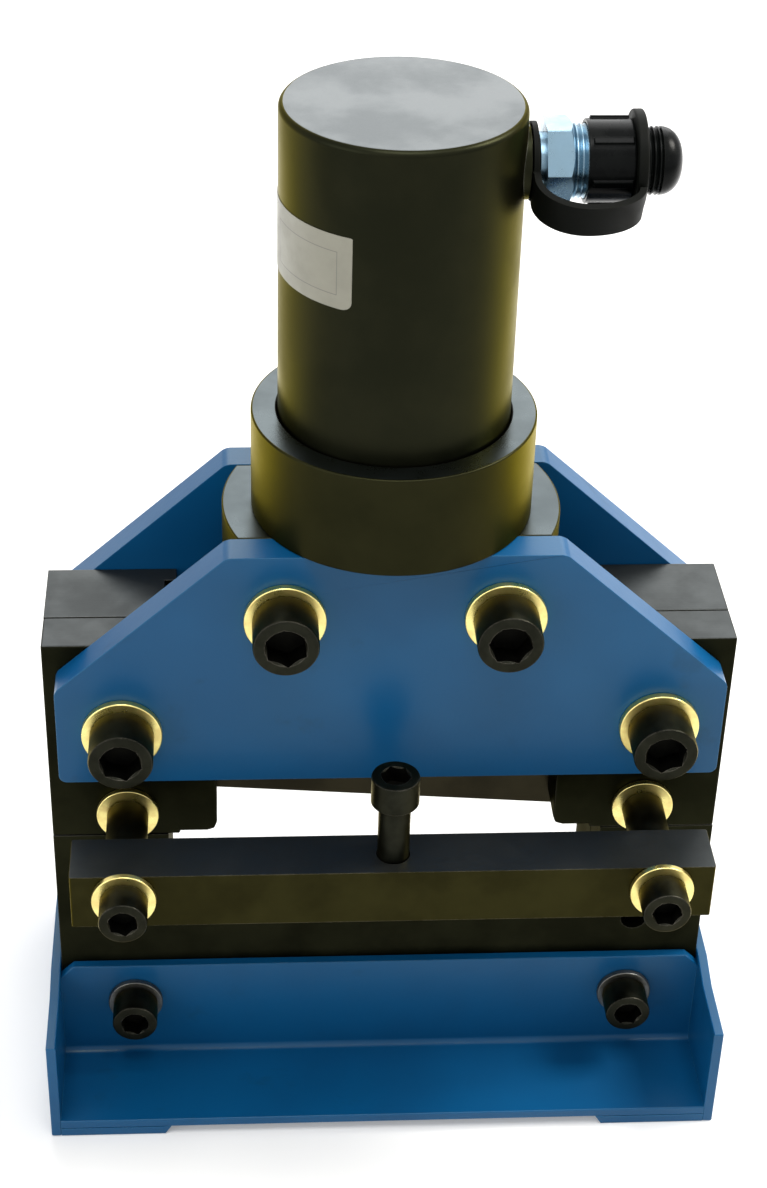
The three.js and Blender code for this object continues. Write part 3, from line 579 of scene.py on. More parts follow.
class Palette:
    """Every finish of the machine, each made into a material once."""

    # The warm tints of these black finishes, and the dim one of the blocks, are painted reflections of warm
    # surroundings at their edges.
    black_barrel = Steel("black_oxide_barrel", "black_oxide_steel", (0.0135, 0.0145, 0.0082),
                         (0.0185, 0.019, 0.0105), 0.34, Grain.TURNED, rubbed=(0.10, 0.10, 0.085),
                         tint=(0.80, 0.74, 0.50), patch_size=45 * MM)
    black_collar = Steel("black_oxide_collar", "black_oxide_steel", (0.0145, 0.0148, 0.0065),
                         (0.021, 0.0208, 0.009), 0.36, Grain.TURNED, rubbed=(0.10, 0.105, 0.10),
                         tint=(1.0, 0.88, 0.48), patch_size=45 * MM)
    # The three finishes below make upward faces lighter: a painted highlight of the light from above, over
    # their turned or milled grain.
    painted_lit_end = Steel("painted_lit_end", "black_oxide_steel", (0.097, 0.107, 0.109), (0.089, 0.099, 0.102),
                       0.36, Grain.TURNED, patch_size=26 * MM)
    painted_lit_ring = Steel("painted_lit_ring", "black_oxide_steel", (0.067, 0.083, 0.087),
                        (0.051, 0.064, 0.068), 0.26, Grain.TURNED, rubbed=(0.2, 0.21, 0.21))
    painted_lit_top = Steel("painted_lit_top", "black_oxide_steel", (0.055, 0.060, 0.060), (0.043, 0.047, 0.047),
                       0.42, Grain.MILLED, rubbed=(0.13, 0.13, 0.12), grain_depth=0.03 * MM)
    black_block = Steel("black_oxide_block", "black_oxide_steel", (0.0095, 0.0100, 0.0055),
                        (0.0165, 0.0172, 0.009), 0.46, Grain.MILLED, rubbed=(0.09, 0.085, 0.07),
                        tint=(0.34, 0.32, 0.19), grain_depth=0.03 * MM)
    black_bar = Steel("black_oxide_bar", "black_oxide_steel", (0.0175, 0.0165, 0.0062),
                      (0.028, 0.0265, 0.0095), 0.40, Grain.MILLED, rubbed=(0.11, 0.10, 0.075),
                      tint=(1.0, 0.86, 0.45))
    black_screw = Steel("black_oxide_screw", "black_screw_steel", (0.0125, 0.0132, 0.0098),
                        (0.021, 0.022, 0.016), 0.38, rubbed=(0.11, 0.10, 0.085),
                        tint=(1.0, 0.9, 0.6), patch_size=9 * MM)
    # Painted shade for recesses: the screws' key sockets and the collar's bore at the barrel.
    painted_shade_socket = Steel("painted_shade_socket", "black_screw_steel", (0.007, 0.007, 0.006),
                        (0.010, 0.010, 0.008), 0.55, patch_size=4 * MM)
    blade_steel = Steel("ground_blade", "blade_steel", (0.026, 0.023, 0.014), (0.019, 0.017, 0.011),
                        0.34, Grain.MILLED, rubbed=(0.3, 0.29, 0.25), tint=(1.0, 0.88, 0.5))
    bright_steel = Steel("bright_steel", "bright_steel", (0.58, 0.58, 0.57), (0.5, 0.49, 0.47), 0.22,
                         Grain.TURNED)
    bronze = Steel("turned_bronze", "bronze", (0.55, 0.38, 0.18), (0.42, 0.27, 0.12), 0.3, Grain.TURNED)
    yellow_zinc = Steel("yellow_zinc", "yellow_zinc", (1.0, 0.88, 0.34), (0.90, 0.72, 0.27), 0.28,
                        patch_size=6 * MM, grain_depth=0.003 * MM)
    grey_washer = Steel("grey_washer", "black_screw_steel", (0.20, 0.20, 0.19), (0.12, 0.12, 0.11),
                        0.36, patch_size=6 * MM)
    # The zinc's bluish colour is partly its own and partly a painted reflection of the sky.
    bright_zinc = Steel("bright_zinc", "bright_zinc", (0.229, 0.344, 0.426), (0.20, 0.305, 0.385), 0.27,
                        patch_size=7 * MM, grain_depth=0.005 * MM)
    # The paint's yellowish tint is a painted reflection of warm surroundings.
    blue = Paint("blue_gloss", "blue_paint", (0.001, 0.090, 0.245), (0.0007, 0.076, 0.214),
                 (0.03, 0.17, 0.33), (0.004, 0.02, 0.045), 0.35, (1.0, 1.0, 0.35))
    plastic = Plastic("black_plastic", "black_plastic", (0.002, 0.0025, 0.0025), (0.011, 0.0125, 0.011),
                      0.2)
    matt_plastic = Plastic("matt_plastic", "black_plastic", (0.0025, 0.003, 0.0022),
                           (0.012, 0.0125, 0.009), 0.5)
    rubber = Plastic("seal_rubber", "seal_rubber", (0.012, 0.012, 0.012), (0.03, 0.03, 0.03), 0.6)

    def __init__(self) -> None:
        """Starts with no material made."""
        self.made: dict[str, bpy.types.Material] = {}

    def material(self, finish: Finish) -> bpy.types.Material:
        """Looks a material up, and makes it on its first use.

        Args:
            finish: the finish.

        Returns:
            Its material.
        """
        if finish.name not in self.made:
            self.made[finish.name] = finish.material()
        return self.made[finish.name]


PALETTE = Palette()


def coat_faces(obj: bpy.types.Object, finish: Finish, test: PlaceTest | None = None) -> None:
    """Adds a finish to an object and gives it to some or all faces.

    Args:
        obj: the object.
        finish: the finish.
        test: says whether a face with this middle and normal gets it; without it all do.
    """
    obj.data.materials.append(PALETTE.material(finish))
    for face in obj.data.polygons:
        if test is None or test(face.center, face.normal):
            face.material_index = len(obj.data.materials) - 1


def bevel_edges(obj: bpy.types.Object, width: float, steps: int, angle: float) -> bpy.types.Modifier:
    """Adds a modifier that breaks an object's sharp edges.

    Args:
        obj: the object.
        width: width of the broken edge.
        steps: faces across it.
        angle: the least turn of a sharp edge, in degrees.

    Returns:
        The modifier.
    """
    bevel = obj.modifiers.new("broken_edges", "BEVEL")
    bevel.width = width
    bevel.segments = steps
    bevel.limit_method = "ANGLE"
    bevel.angle_limit = math.radians(angle)
    return bevel


class Workpiece:
    """Mesh object that is shaped with the modelling operators."""

    def __init__(self, name: str) -> None:
        """Takes the object that was just added.

        Args:
            name: the name that it gets.
        """
        self.obj = bpy.context.active_object
        self.obj.name = name
        self.obj.data.name = name

    @classmethod
    def block(cls, name: str, low: Point | Vector, high: Point | Vector) -> "Workpiece":
        """Starts from a block.

        Args:
            name: its name.
            low: its lower corner.
            high: its upper corner.

        Returns:
            The block.
        """
        bpy.ops.object.select_all(action="DESELECT")
        low, high = Vector(low), Vector(high)
        bpy.ops.mesh.primitive_cube_add(size=1.0, location=(low + high) / 2, scale=high - low)
        return cls(name).settled()

    @classmethod
    def rod(cls, name: str, radius: float, low: float, high: float, sides: int = 64) -> "Workpiece":
        """Starts from a rod along Z.

        Args:
            name: its name.
            radius: its radius, out to the corners.
            low: its lower end.
            high: its upper end.
            sides: faces round it.

        Returns:
            The rod.
        """
        bpy.ops.object.select_all(action="DESELECT")
        bpy.ops.mesh.primitive_cylinder_add(
            vertices=sides, radius=radius, depth=high - low, location=(0, 0, (low + high) / 2))
        return cls(name).settled()

    @classmethod
    def turned(cls, name: str, profile: Profile, steps: int) -> "Workpiece":
        """Turns a piece about Z, as on a lathe.

        Args:
            name: its name.
            profile: radius and height of each corner. It closes on itself unless it starts on the axis.
            steps: steps of a full turn.

        Returns:
            The turned piece.
        """
        bpy.ops.object.select_all(action="DESELECT")
        bpy.ops.mesh.primitive_plane_add(size=MM)
        piece = cls(name)
        outline = list(profile) if profile[0][0] == 0 else [*profile, profile[0]]
        with piece.editing():
            bpy.ops.mesh.select_mode(type="VERT")
            bpy.ops.mesh.select_all(action="SELECT")
            bpy.ops.mesh.merge(type="CENTER")
            bpy.ops.transform.translate(value=(outline[0][0], 0, outline[0][1]))
            for start, end in pairwise(outline):
                step = (end[0] - start[0], 0, end[1] - start[1])
                bpy.ops.mesh.extrude_vertices_move(TRANSFORM_OT_translate={"value": step})
            bpy.ops.mesh.select_all(action="SELECT")
            bpy.ops.mesh.spin(steps=steps, angle=FULL_TURN, center=(0, 0, 0), axis=(0, 0, 1))
            piece.close_seams()
        return piece

    @classmethod
    def tube(cls, name: str, radii: tuple[float, float], low: float, high: float,
             steps: int = 72) -> "Workpiece":
        """Returns a tube or a ring that is turned about Z, from its bore's and its outer radius."""
        bore, radius = radii
        return cls.turned(name, [(bore, low), (radius, low), (radius, high), (bore, high)], steps)

    @contextmanager
    def editing(self) -> Iterator[None]:
        """Goes into edit mode on this piece alone, and out again."""
        self.focus()
        bpy.ops.object.mode_set(mode="EDIT")
        yield
        bpy.ops.object.mode_set(mode="OBJECT")

    def focus(self) -> None:
        """Makes this piece the only one selected, and the active one."""
        bpy.ops.object.select_all(action="DESELECT")
        self.obj.select_set(True)
        bpy.context.view_layer.objects.active = self.obj

    def settled(self) -> "Workpiece":
        """Puts the place, turn and scale into the mesh.

        Returns:
            The piece itself.
        """
        self.focus()
        bpy.ops.object.transform_apply(location=True, rotation=True, scale=True)
        return self

    def close_seams(self) -> None:
        """Merges doubled points and turns every face outwards, in edit mode."""
        bpy.ops.mesh.select_all(action="SELECT")
        bpy.ops.mesh.remove_doubles(threshold=MERGE)
        bpy.ops.mesh.normals_make_consistent(inside=False)

    def choose(self, kind: str, wanted: Callable[[Any], bool]) -> None:
        """Selects some faces or edges alone, in edit mode.

        Args:
            kind: FACE or EDGE.
            wanted: says whether a face or an edge is selected.
        """
        bpy.ops.mesh.select_mode(type=kind)
        bpy.ops.mesh.select_all(action="DESELECT")
        mesh = bmesh.from_edit_mesh(self.obj.data)
        for item in mesh.faces if kind == "FACE" else mesh.edges:
            item.select_set(wanted(item))
        bmesh.update_edit_mesh(self.obj.data)

    def choose_faces(self, test: PlaceTest) -> None:
        """Selects the faces whose middle and normal pass a test, in edit mode."""
        self.choose("FACE", lambda face: test(face.calc_center_median(), face.normal))

    def choose_edges(self, test: PlaceTest) -> None:
        """Selects the edges whose middle and direction pass a test, in edit mode."""
        def passes(edge: bmesh.types.BMEdge) -> bool:
            """Returns whether one edge passes."""
            first, last = (vert.co for vert in edge.verts)
            return test((first + last) / 2, (last - first).normalized())

        self.choose("EDGE", passes)

    def extrude(self, step: Point | Vector) -> None:
        """Extrudes what is chosen by a step, in edit mode."""
        bpy.ops.mesh.extrude_region_move(TRANSFORM_OT_translate={"value": step})

    def slice(self, point: Point, normal: Point, clear: bool = True) -> None:
        """Cuts by a plane, in edit mode, and clears the side that the normal points to if told so."""
        bpy.ops.mesh.select_all(action="SELECT")
        bpy.ops.mesh.bisect(plane_co=point, plane_no=normal, clear_outer=clear, use_fill=clear)

    def round_chosen(self, radius: float, steps: int = 6) -> None:
        """Rounds the chosen edges, in edit mode."""
        bpy.ops.mesh.bevel(offset=radius, segments=steps, affect="EDGES")

    def apply(self, modifier: bpy.types.Modifier) -> None:
        """Applies a modifier."""
        self.focus()
        bpy.ops.object.modifier_apply(modifier=modifier.name)

    def combine(self, tool: "Workpiece", operation: str) -> None:
        """Cuts by, joins with or keeps only what lies in another piece, which is used up.

        Args:
            tool: the other piece.
            operation: DIFFERENCE, UNION or INTERSECT.
        """
        modifier = self.obj.modifiers.new("combine", "BOOLEAN")
        modifier.operation = operation
        modifier.solver = "EXACT"
        modifier.object = tool.obj
        self.apply(modifier)
        tool.discard()

    def drill(self, radius: float, through: Point | Vector, facing: Facing, depth: float) -> None:
        """Drills a hole both ways from a point.

        Args:
            radius: the hole's radius.
            through: a point on its axis.
            facing: the axis.
            depth: how far it goes each way.
        """
        bit = Workpiece.rod("drill", radius, -depth, depth, 48)
        bit.place(facing.at(through))
        self.combine(bit, "DIFFERENCE")

    def drill_for(self, screw: str, radius: float, start: float, depth: float) -> None:
        """Drills the hole of a CAD screw that lies along Y, both ways from a place along Y."""
        middle = box_middle(screw)
        self.drill(radius, (middle.x, start, middle.z), Facing.FRONT, depth)

    def break_edges(self, width: float, steps: int = 3) -> None:
        """Breaks the sharp edges with small rounds, so many faces across."""
        self.apply(bevel_edges(self.obj, width, steps, SHARP_TURN))

    def soften(self, width: float, steps: int = 3) -> None:
        """Breaks the sharp edges as break_edges does, and shades the piece."""
        self.break_edges(width, steps)
        self.shade()

    def shade(self, angle: float = 40) -> None:
        """Shades the piece smooth.

        Args:
            angle: the least turn, in degrees, of an edge that stays sharp.
        """
        self.focus()
        bpy.ops.object.shade_smooth_by_angle(angle=math.radians(angle))
        modifier = self.obj.modifiers.new("weigh_normals", "WEIGHTED_NORMAL")
        modifier.keep_sharp = True
        self.apply(modifier)

    def place(self, matrix: Matrix) -> "Workpiece":
        """Moves the mesh.

        Args:
            matrix: the turn and move.

        Returns:
            The piece itself.
        """
        self.obj.matrix_world = matrix
        bpy.context.view_layer.update()
        return self.settled()

    def copy(self, name: str) -> "Workpiece":
        """Copies the piece.

        Args:
            name: the copy's name.

        Returns:
            The copy, with a mesh of its own.
        """
        self.focus()
        bpy.ops.object.duplicate(linked=False)
        return Workpiece(name)

    def discard(self) -> None:
        """Takes the piece away again."""
        bpy.data.objects.remove(self.obj)

    def coat(self, finish: Finish, test: PlaceTest | None = None) -> None:
        """Gives some or all faces a finish, as coat_faces does."""
        coat_faces(self.obj, finish, test)

    def fit(self, node: str, finish: Finish, replaces: bool = True) -> None:
        """Gives the piece its finish and its place in the machine.

        Args:
            node: the CAD node that it goes with.
            finish: its finish, unless its faces have theirs already.
            replaces: whether it stands for that node.
        """
        if not self.obj.data.materials:
            self.coat(finish)
        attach(self.obj, body_of(node))
        self.declare(finish, node if replaces else None)

    def declare(self, finish: Finish, node: str | None) -> None:
        """Hides the CAD node that the piece stands for, and logs the piece.

        Args:
            finish: not used.
            node: the CAD node that it stands for, if it does.
        """
        if node:
            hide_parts(node)
        LOG.info("%s: %d faces", self.obj.name, len(self.obj.data.polygons))


@dataclass
class SheetBase:
    """Blue folded base: two angles, two end plates and two foot strips.

    Attributes:
        sheet: thickness of the sheet.
        inner_bend: inner radius of the fold.
        outer_bend: outer radius of the fold.
        spare: what is trimmed off each end of an angle once its long edges are broken.
        corner_cut: cut on the upper corners of the walls.
        hole: radius of the screw holes.
        edge: broken edges.
        rise_half: half length of the raised middle of an end plate.
        slope: run of the slope on either side of it.
        rise: how far it rises.
        strip_chamfer: slant of a foot strip's inner end.
        strip_edge: broken edges of a foot strip.
    """

    sheet: float = 4 * MM
    inner_bend: float = 2.6 * MM
    outer_bend: float = 6.5 * MM
    spare: float = 2 * MM
    corner_cut: float = 5 * MM
    hole: float = 6.3 * MM
    edge: float = 0.55 * MM
    rise_half: float = 28 * MM
    slope: float = 14 * MM
    rise: float = 4 * MM
    strip_chamfer: float = 2.5 * MM
    strip_edge: float = 0.3 * MM

    def build(self) -> None:
        """Builds all six pieces."""
        for end, side in zip(ENDS, BOTH_WAYS):
            self.build_angle(end, side)
        for hand, side in zip(SIDES, BOTH_WAYS):
            self.build_end_plate(hand)
            self.build_foot_strip(hand, side)

    def build_angle(self, end: str, side: int) -> None:
        """Folds one angle.

        Args:
            end: front or rear.
            side: -1 for the front and 1 for the rear.
        """
        node = f"base_{end}_angle"
        low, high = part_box(node)
        back = high.y if side < 0 else low.y
        wall = back + side * self.sheet
        floor_top = low.z + self.sheet
        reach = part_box("base_right_end_plate")[0].x
        rough = reach + self.spare
        piece = Workpiece.block(f"fine_{node}", (-rough, low.y, low.z), (rough, high.y, floor_top))
        with piece.editing():
            piece.slice((0, wall, 0), (0, side, 0), clear=False)
            piece.choose_faces(lambda at, normal: normal.z > ALIGNED and (at.y - wall) * side < 0)
            piece.extrude((0, 0, high.z - floor_top))
            for y, z, radius in ((wall, floor_top, self.inner_bend), (back, low.z, self.outer_bend)):
                piece.choose_edges(lambda at, along: abs(along.x) > ALIGNED
                                   and near(at.y, y) and near(at.z, z))
                piece.round_chosen(radius, 8)
            for hand in BOTH_WAYS:
                piece.slice((hand * (high.x - self.corner_cut), wall, high.z), (hand, 0, 1))
        for hand in SIDES:
            piece.drill_for(f"base_{end}_screw_{hand}", self.hole, wall, 2 * self.sheet)
        piece.break_edges(self.edge)
        with piece.editing():
            for hand in BOTH_WAYS:
                piece.slice((hand * reach, 0, 0), (hand, 0, 0))
        piece.shade()
        piece.fit(node, PALETTE.blue)

    def build_end_plate(self, hand: str) -> None:
        """Cuts one end plate, with its raised middle.

        Args:
            hand: left or right.
        """
        node = f"base_{hand}_end_plate"
        low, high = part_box(node)
        middle_y = (low.y + high.y) / 2
        piece = Workpiece.block(f"fine_{node}", low, (high.x, high.y, high.z - self.rise))
        with piece.editing():
            for reach, side in product((self.rise_half, self.rise_half + self.slope), BOTH_WAYS):
                piece.slice((0, middle_y + side * reach, 0), (0, side, 0), clear=False)
            piece.choose_faces(lambda at, normal: normal.z > ALIGNED
                               and abs(at.y - middle_y) < self.rise_half)
            bpy.ops.transform.translate(value=(0, 0, self.rise))
        piece.soften(self.edge)
        piece.fit(node, PALETTE.blue)

    def build_foot_strip(self, hand: str, side: int) -> None:
        """Cuts one foot strip, with its slanted inner end.

        Args:
            hand: left or right.
            side: -1 for the left and 1 for the right.
        """
        node = f"{hand}_foot_strip"
        low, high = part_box(node)
        inner = low.x if side > 0 else high.x
        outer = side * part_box("base_right_end_plate")[0].x
        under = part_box("base_front_angle")[0].z
        piece = Workpiece.block(f"fine_{node}", (min(inner, outer), low.y, low.z),
                                (max(inner, outer), high.y, under))
        with piece.editing():
            piece.choose_edges(lambda at, along: abs(along.y) > ALIGNED
                               and near(at.x, inner) and near(at.z, low.z))
            bpy.ops.transform.translate(value=(side * self.strip_chamfer, 0, 0))
            piece.choose_edges(lambda at, along: abs(at.x - inner) < 2 * self.strip_chamfer
                               or near(at.z, low.z))
            piece.round_chosen(self.strip_edge, 2)
        piece.shade()
        piece.fit(node, PALETTE.blue)


@dataclass
class SidePlates:
    """The two blue plates that clamp the cylinder's flange and the posts.

    Attributes:
        top_half: half width of the top edge.
        shoulder: height of the shoulders above the table.
        corner: length that the four rounded upper corners take.
        foot_corner: length that the two lower ones take.
        hole: radius of the screw holes.
        edge: broken edges.
    """

    top_half: float = 61 * MM
    shoulder: float = 198.5 * MM
    corner: float = 2 * MM
    foot_corner: float = 3 * MM
    hole: float = 8.3 * MM
    edge: float = 0.7 * MM

    def build(self) -> None:
        """Builds the front and the rear plate."""
        for end in ENDS:
            self.build_plate(end)

    def build_plate(self, end: str) -> None:
        """Cuts one plate from a block.

        Args:
            end: front or rear.
        """
        node = f"{end}_plate"
        low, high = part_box(node)
        piece = Workpiece.block(f"fine_{node}", low, high)
        slope = Vector((high.z - self.shoulder, 0, high.x - self.top_half)).normalized()
        with piece.editing():
            for side in BOTH_WAYS:
                piece.slice((side * high.x, 0, self.shoulder), (side * slope.x, 0, slope.z))
            piece.choose_edges(lambda at, along: abs(along.y) > ALIGNED and near(at.z, low.z))
            piece.round_chosen(self.foot_corner)
            piece.choose_edges(lambda at, along: abs(along.y) > ALIGNED and at.z > self.shoulder - MERGE)
            piece.round_chosen(self.corner)
        for row, hand in product(("upper", "lower"), SIDES):
            piece.drill_for(f"{end}_{row}_screw_{hand}", self.hole, (low.y + high.y) / 2, high.y - low.y)
        piece.soften(self.edge)
        piece.fit(node, PALETTE.blue)


@dataclass
class PressCylinder:
    """Hydraulic cylinder: flange, collar and barrel with its port boss, and the label.

    Attributes:
        flange_bore: radius of the flange's bore.
        wall: thickness of the barrel.
        crown: thickness of its closed top.
        top_round: radius of its upper edge.
        boss: radius of the port's boss.
        boss_edge: radius of its edge.
        port: radius of the port.
        port_depth: depth of the port.
        edge: broken edges of the flange and the collar.
        seam: width of the ring of painted shade where the collar meets the barrel.
        label_low: height of the label's lower edge.
        label_high: height of its upper edge.
        label_right: angle of its right edge from the front, to the left.
        label_left: angle of its left edge.
        label_corners: radius of its lower and its upper corners.
        paper: thickness of the label.
        glue: gap between the label and the barrel.
        line_turns: angles of the left and right lines of the label's frame.
        line_insets: how far its lower and upper lines lie inside the label.
        steps: steps of a full turn.
    """

    flange_bore: float = 24.6 * MM
    wall: float = 9.5 * MM
    crown: float = 15 * MM
    top_round: float = 2.2 * MM
    boss: float = 13 * MM
    boss_edge: float = 0.5 * MM
    port: float = 7.3 * MM
    port_depth: float = 9.3 * MM
    edge: float = 0.7 * MM
    seam: float = 0.6 * MM
    label_low: float = 353.4 * MM
    label_high: float = 380 * MM
    label_right: float = math.radians(-25.7)
    label_left: float = math.radians(-104)
    label_corners: tuple[float, float] = (3 * MM, 0.6 * MM)
    paper: float = 0.14 * MM
    glue: float = 0.04 * MM
    line_turns: tuple[float, float] = (math.radians(-78), math.radians(-33.5))
    line_insets: tuple[float, float] = (5 * MM, 6 * MM)
    steps: int = 128

    def axis(self) -> Matrix:
        """Returns the place of the cylinder's axis."""
        return Matrix.Translation((0, box_middle("cylinder_flange").y, 0))

    def build(self) -> None:
        """Builds the cylinder's pieces and the label."""
        self.build_barrel()
        self.build_collar()
        self.build_flange()
        self.build_label()

    def barrel_radius(self) -> float:
        """Returns the barrel's outer radius."""
        low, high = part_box("cylinder_barrel")
        return (high.y - low.y) / 2

    def build_barrel(self) -> None:
        """Turns the barrel, with its round top edge, and joins the boss."""
        node = "cylinder_barrel"
        low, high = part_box(node)
        radius = self.barrel_radius()
        bore = radius - self.wall
        chamber = high.z - self.crown
        rounding = [(radius - self.top_round * (1 - math.cos(angle)),
                     high.z - self.top_round * (1 - math.sin(angle))) for angle in quarter_turn(6)]
        piece = Workpiece.turned(f"fine_{node}", [
            (0, chamber), (bore, chamber), (bore, low.z), (radius, low.z), *rounding,
            (radius / 2, high.z), (0, high.z)], self.steps)
        height = box_middle("coupler_nipple").z
        boss = Workpiece.rod("boss", self.boss, (radius + bore) / 2, high.x)
        with boss.editing():
            boss.choose_edges(lambda at, along: near(at.z, high.x))
            boss.round_chosen(self.boss_edge, 3)
        boss.place(Facing.RIGHT.at((0, 0, height)))
        piece.combine(boss, "UNION")
        piece.drill(self.port, (high.x, 0, height), Facing.RIGHT, self.port_depth)
        piece.place(self.axis())
        piece.shade(30)
        piece.coat(PALETTE.black_barrel)
        # Painted highlight: the top face gets a lighter finish.
        piece.coat(PALETTE.painted_lit_end, looks_up)
        piece.fit(node, PALETTE.black_barrel)

    def build_collar(self) -> None:
        """Turns the collar round the barrel's foot."""
        node = "cylinder_collar"
        low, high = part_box(node)
        bore = self.barrel_radius() + GAP
        piece = Workpiece.tube(f"fine_{node}", (bore, (high.x - low.x) / 2), low.z, high.z, self.steps)
        piece.soften(self.edge)
        piece.coat(PALETTE.black_collar)
        # Painted highlight: the top faces get a lighter finish.
        piece.coat(PALETTE.painted_lit_ring, looks_up)
        # Painted shade in the seam between the collar and the barrel.
        piece.coat(PALETTE.painted_shade_socket, lambda at, normal: at.xy.length < bore + self.seam)
        piece.place(self.axis())
        piece.fit(node, PALETTE.black_collar)

    def build_flange(self) -> None:
        """Turns the flange and mills its two flats."""
        node = "cylinder_flange"
        low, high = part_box(node)
        radii = (self.flange_bore, (high.x - low.x) / 2)
        flat = (high.y - low.y) / 2
        piece = Workpiece.tube(f"fine_{node}", radii, low.z, high.z, self.steps)
        with piece.editing():
            for side in BOTH_WAYS:
                piece.slice((0, side * flat, 0), (0, side, 0))
        piece.soften(self.edge)
        piece.place(self.axis())
        piece.coat(PALETTE.black_collar)
        # Painted highlight: the top faces get a lighter finish.
        piece.coat(PALETTE.painted_lit_ring, looks_up)
        piece.fit(node, PALETTE.black_collar)

    def build_label(self) -> None:
        """Lays the plain label round the barrel."""
        radius = self.barrel_radius()
        inner = radius + self.glue
        piece = Workpiece.tube("barrel_label", (inner, inner + self.paper), self.label_low,
                               self.label_high, 2 * self.steps)
        half = radius * math.sin((self.label_right - self.label_left) / 2)
        patch = Workpiece.block("patch", (-half, -2 * radius, self.label_low), (half, 0, self.label_high))
        with patch.editing():
            for height, corner in zip((self.label_low, self.label_high), self.label_corners):
                patch.choose_edges(lambda at, along: abs(along.y) > ALIGNED and near(at.z, height))
                patch.round_chosen(corner, 5)
        patch.place(Matrix.Rotation((self.label_left + self.label_right) / 2, 4, "Z"))
        piece.combine(patch, "INTERSECT")
        piece.place(self.axis())
        piece.shade()
        left, right = self.line_turns
        below, above = self.line_insets
        # The paper colours are darker than the label's own: painted shade over the label.
        sticker = Sticker("paper_label", "black_oxide_steel", (0.315, 0.306, 0.245), (0.25, 0.245, 0.198),
                          (0.16, 0.155, 0.14), radius, self.axis().translation.y,
                          (left, self.label_low + below), (right, self.label_high - above))
        piece.fit("cylinder_barrel", sticker, replaces=False)


@dataclass(frozen=True)
class ScrewSize:
    """Sizes of a socket-head cap screw.

    Attributes:
        shank: shank radius.
        head: head radius.
        height: head height.
        key: width across the flats of the key.
    """

    shank: float
    head: float
    height: float
    key: float


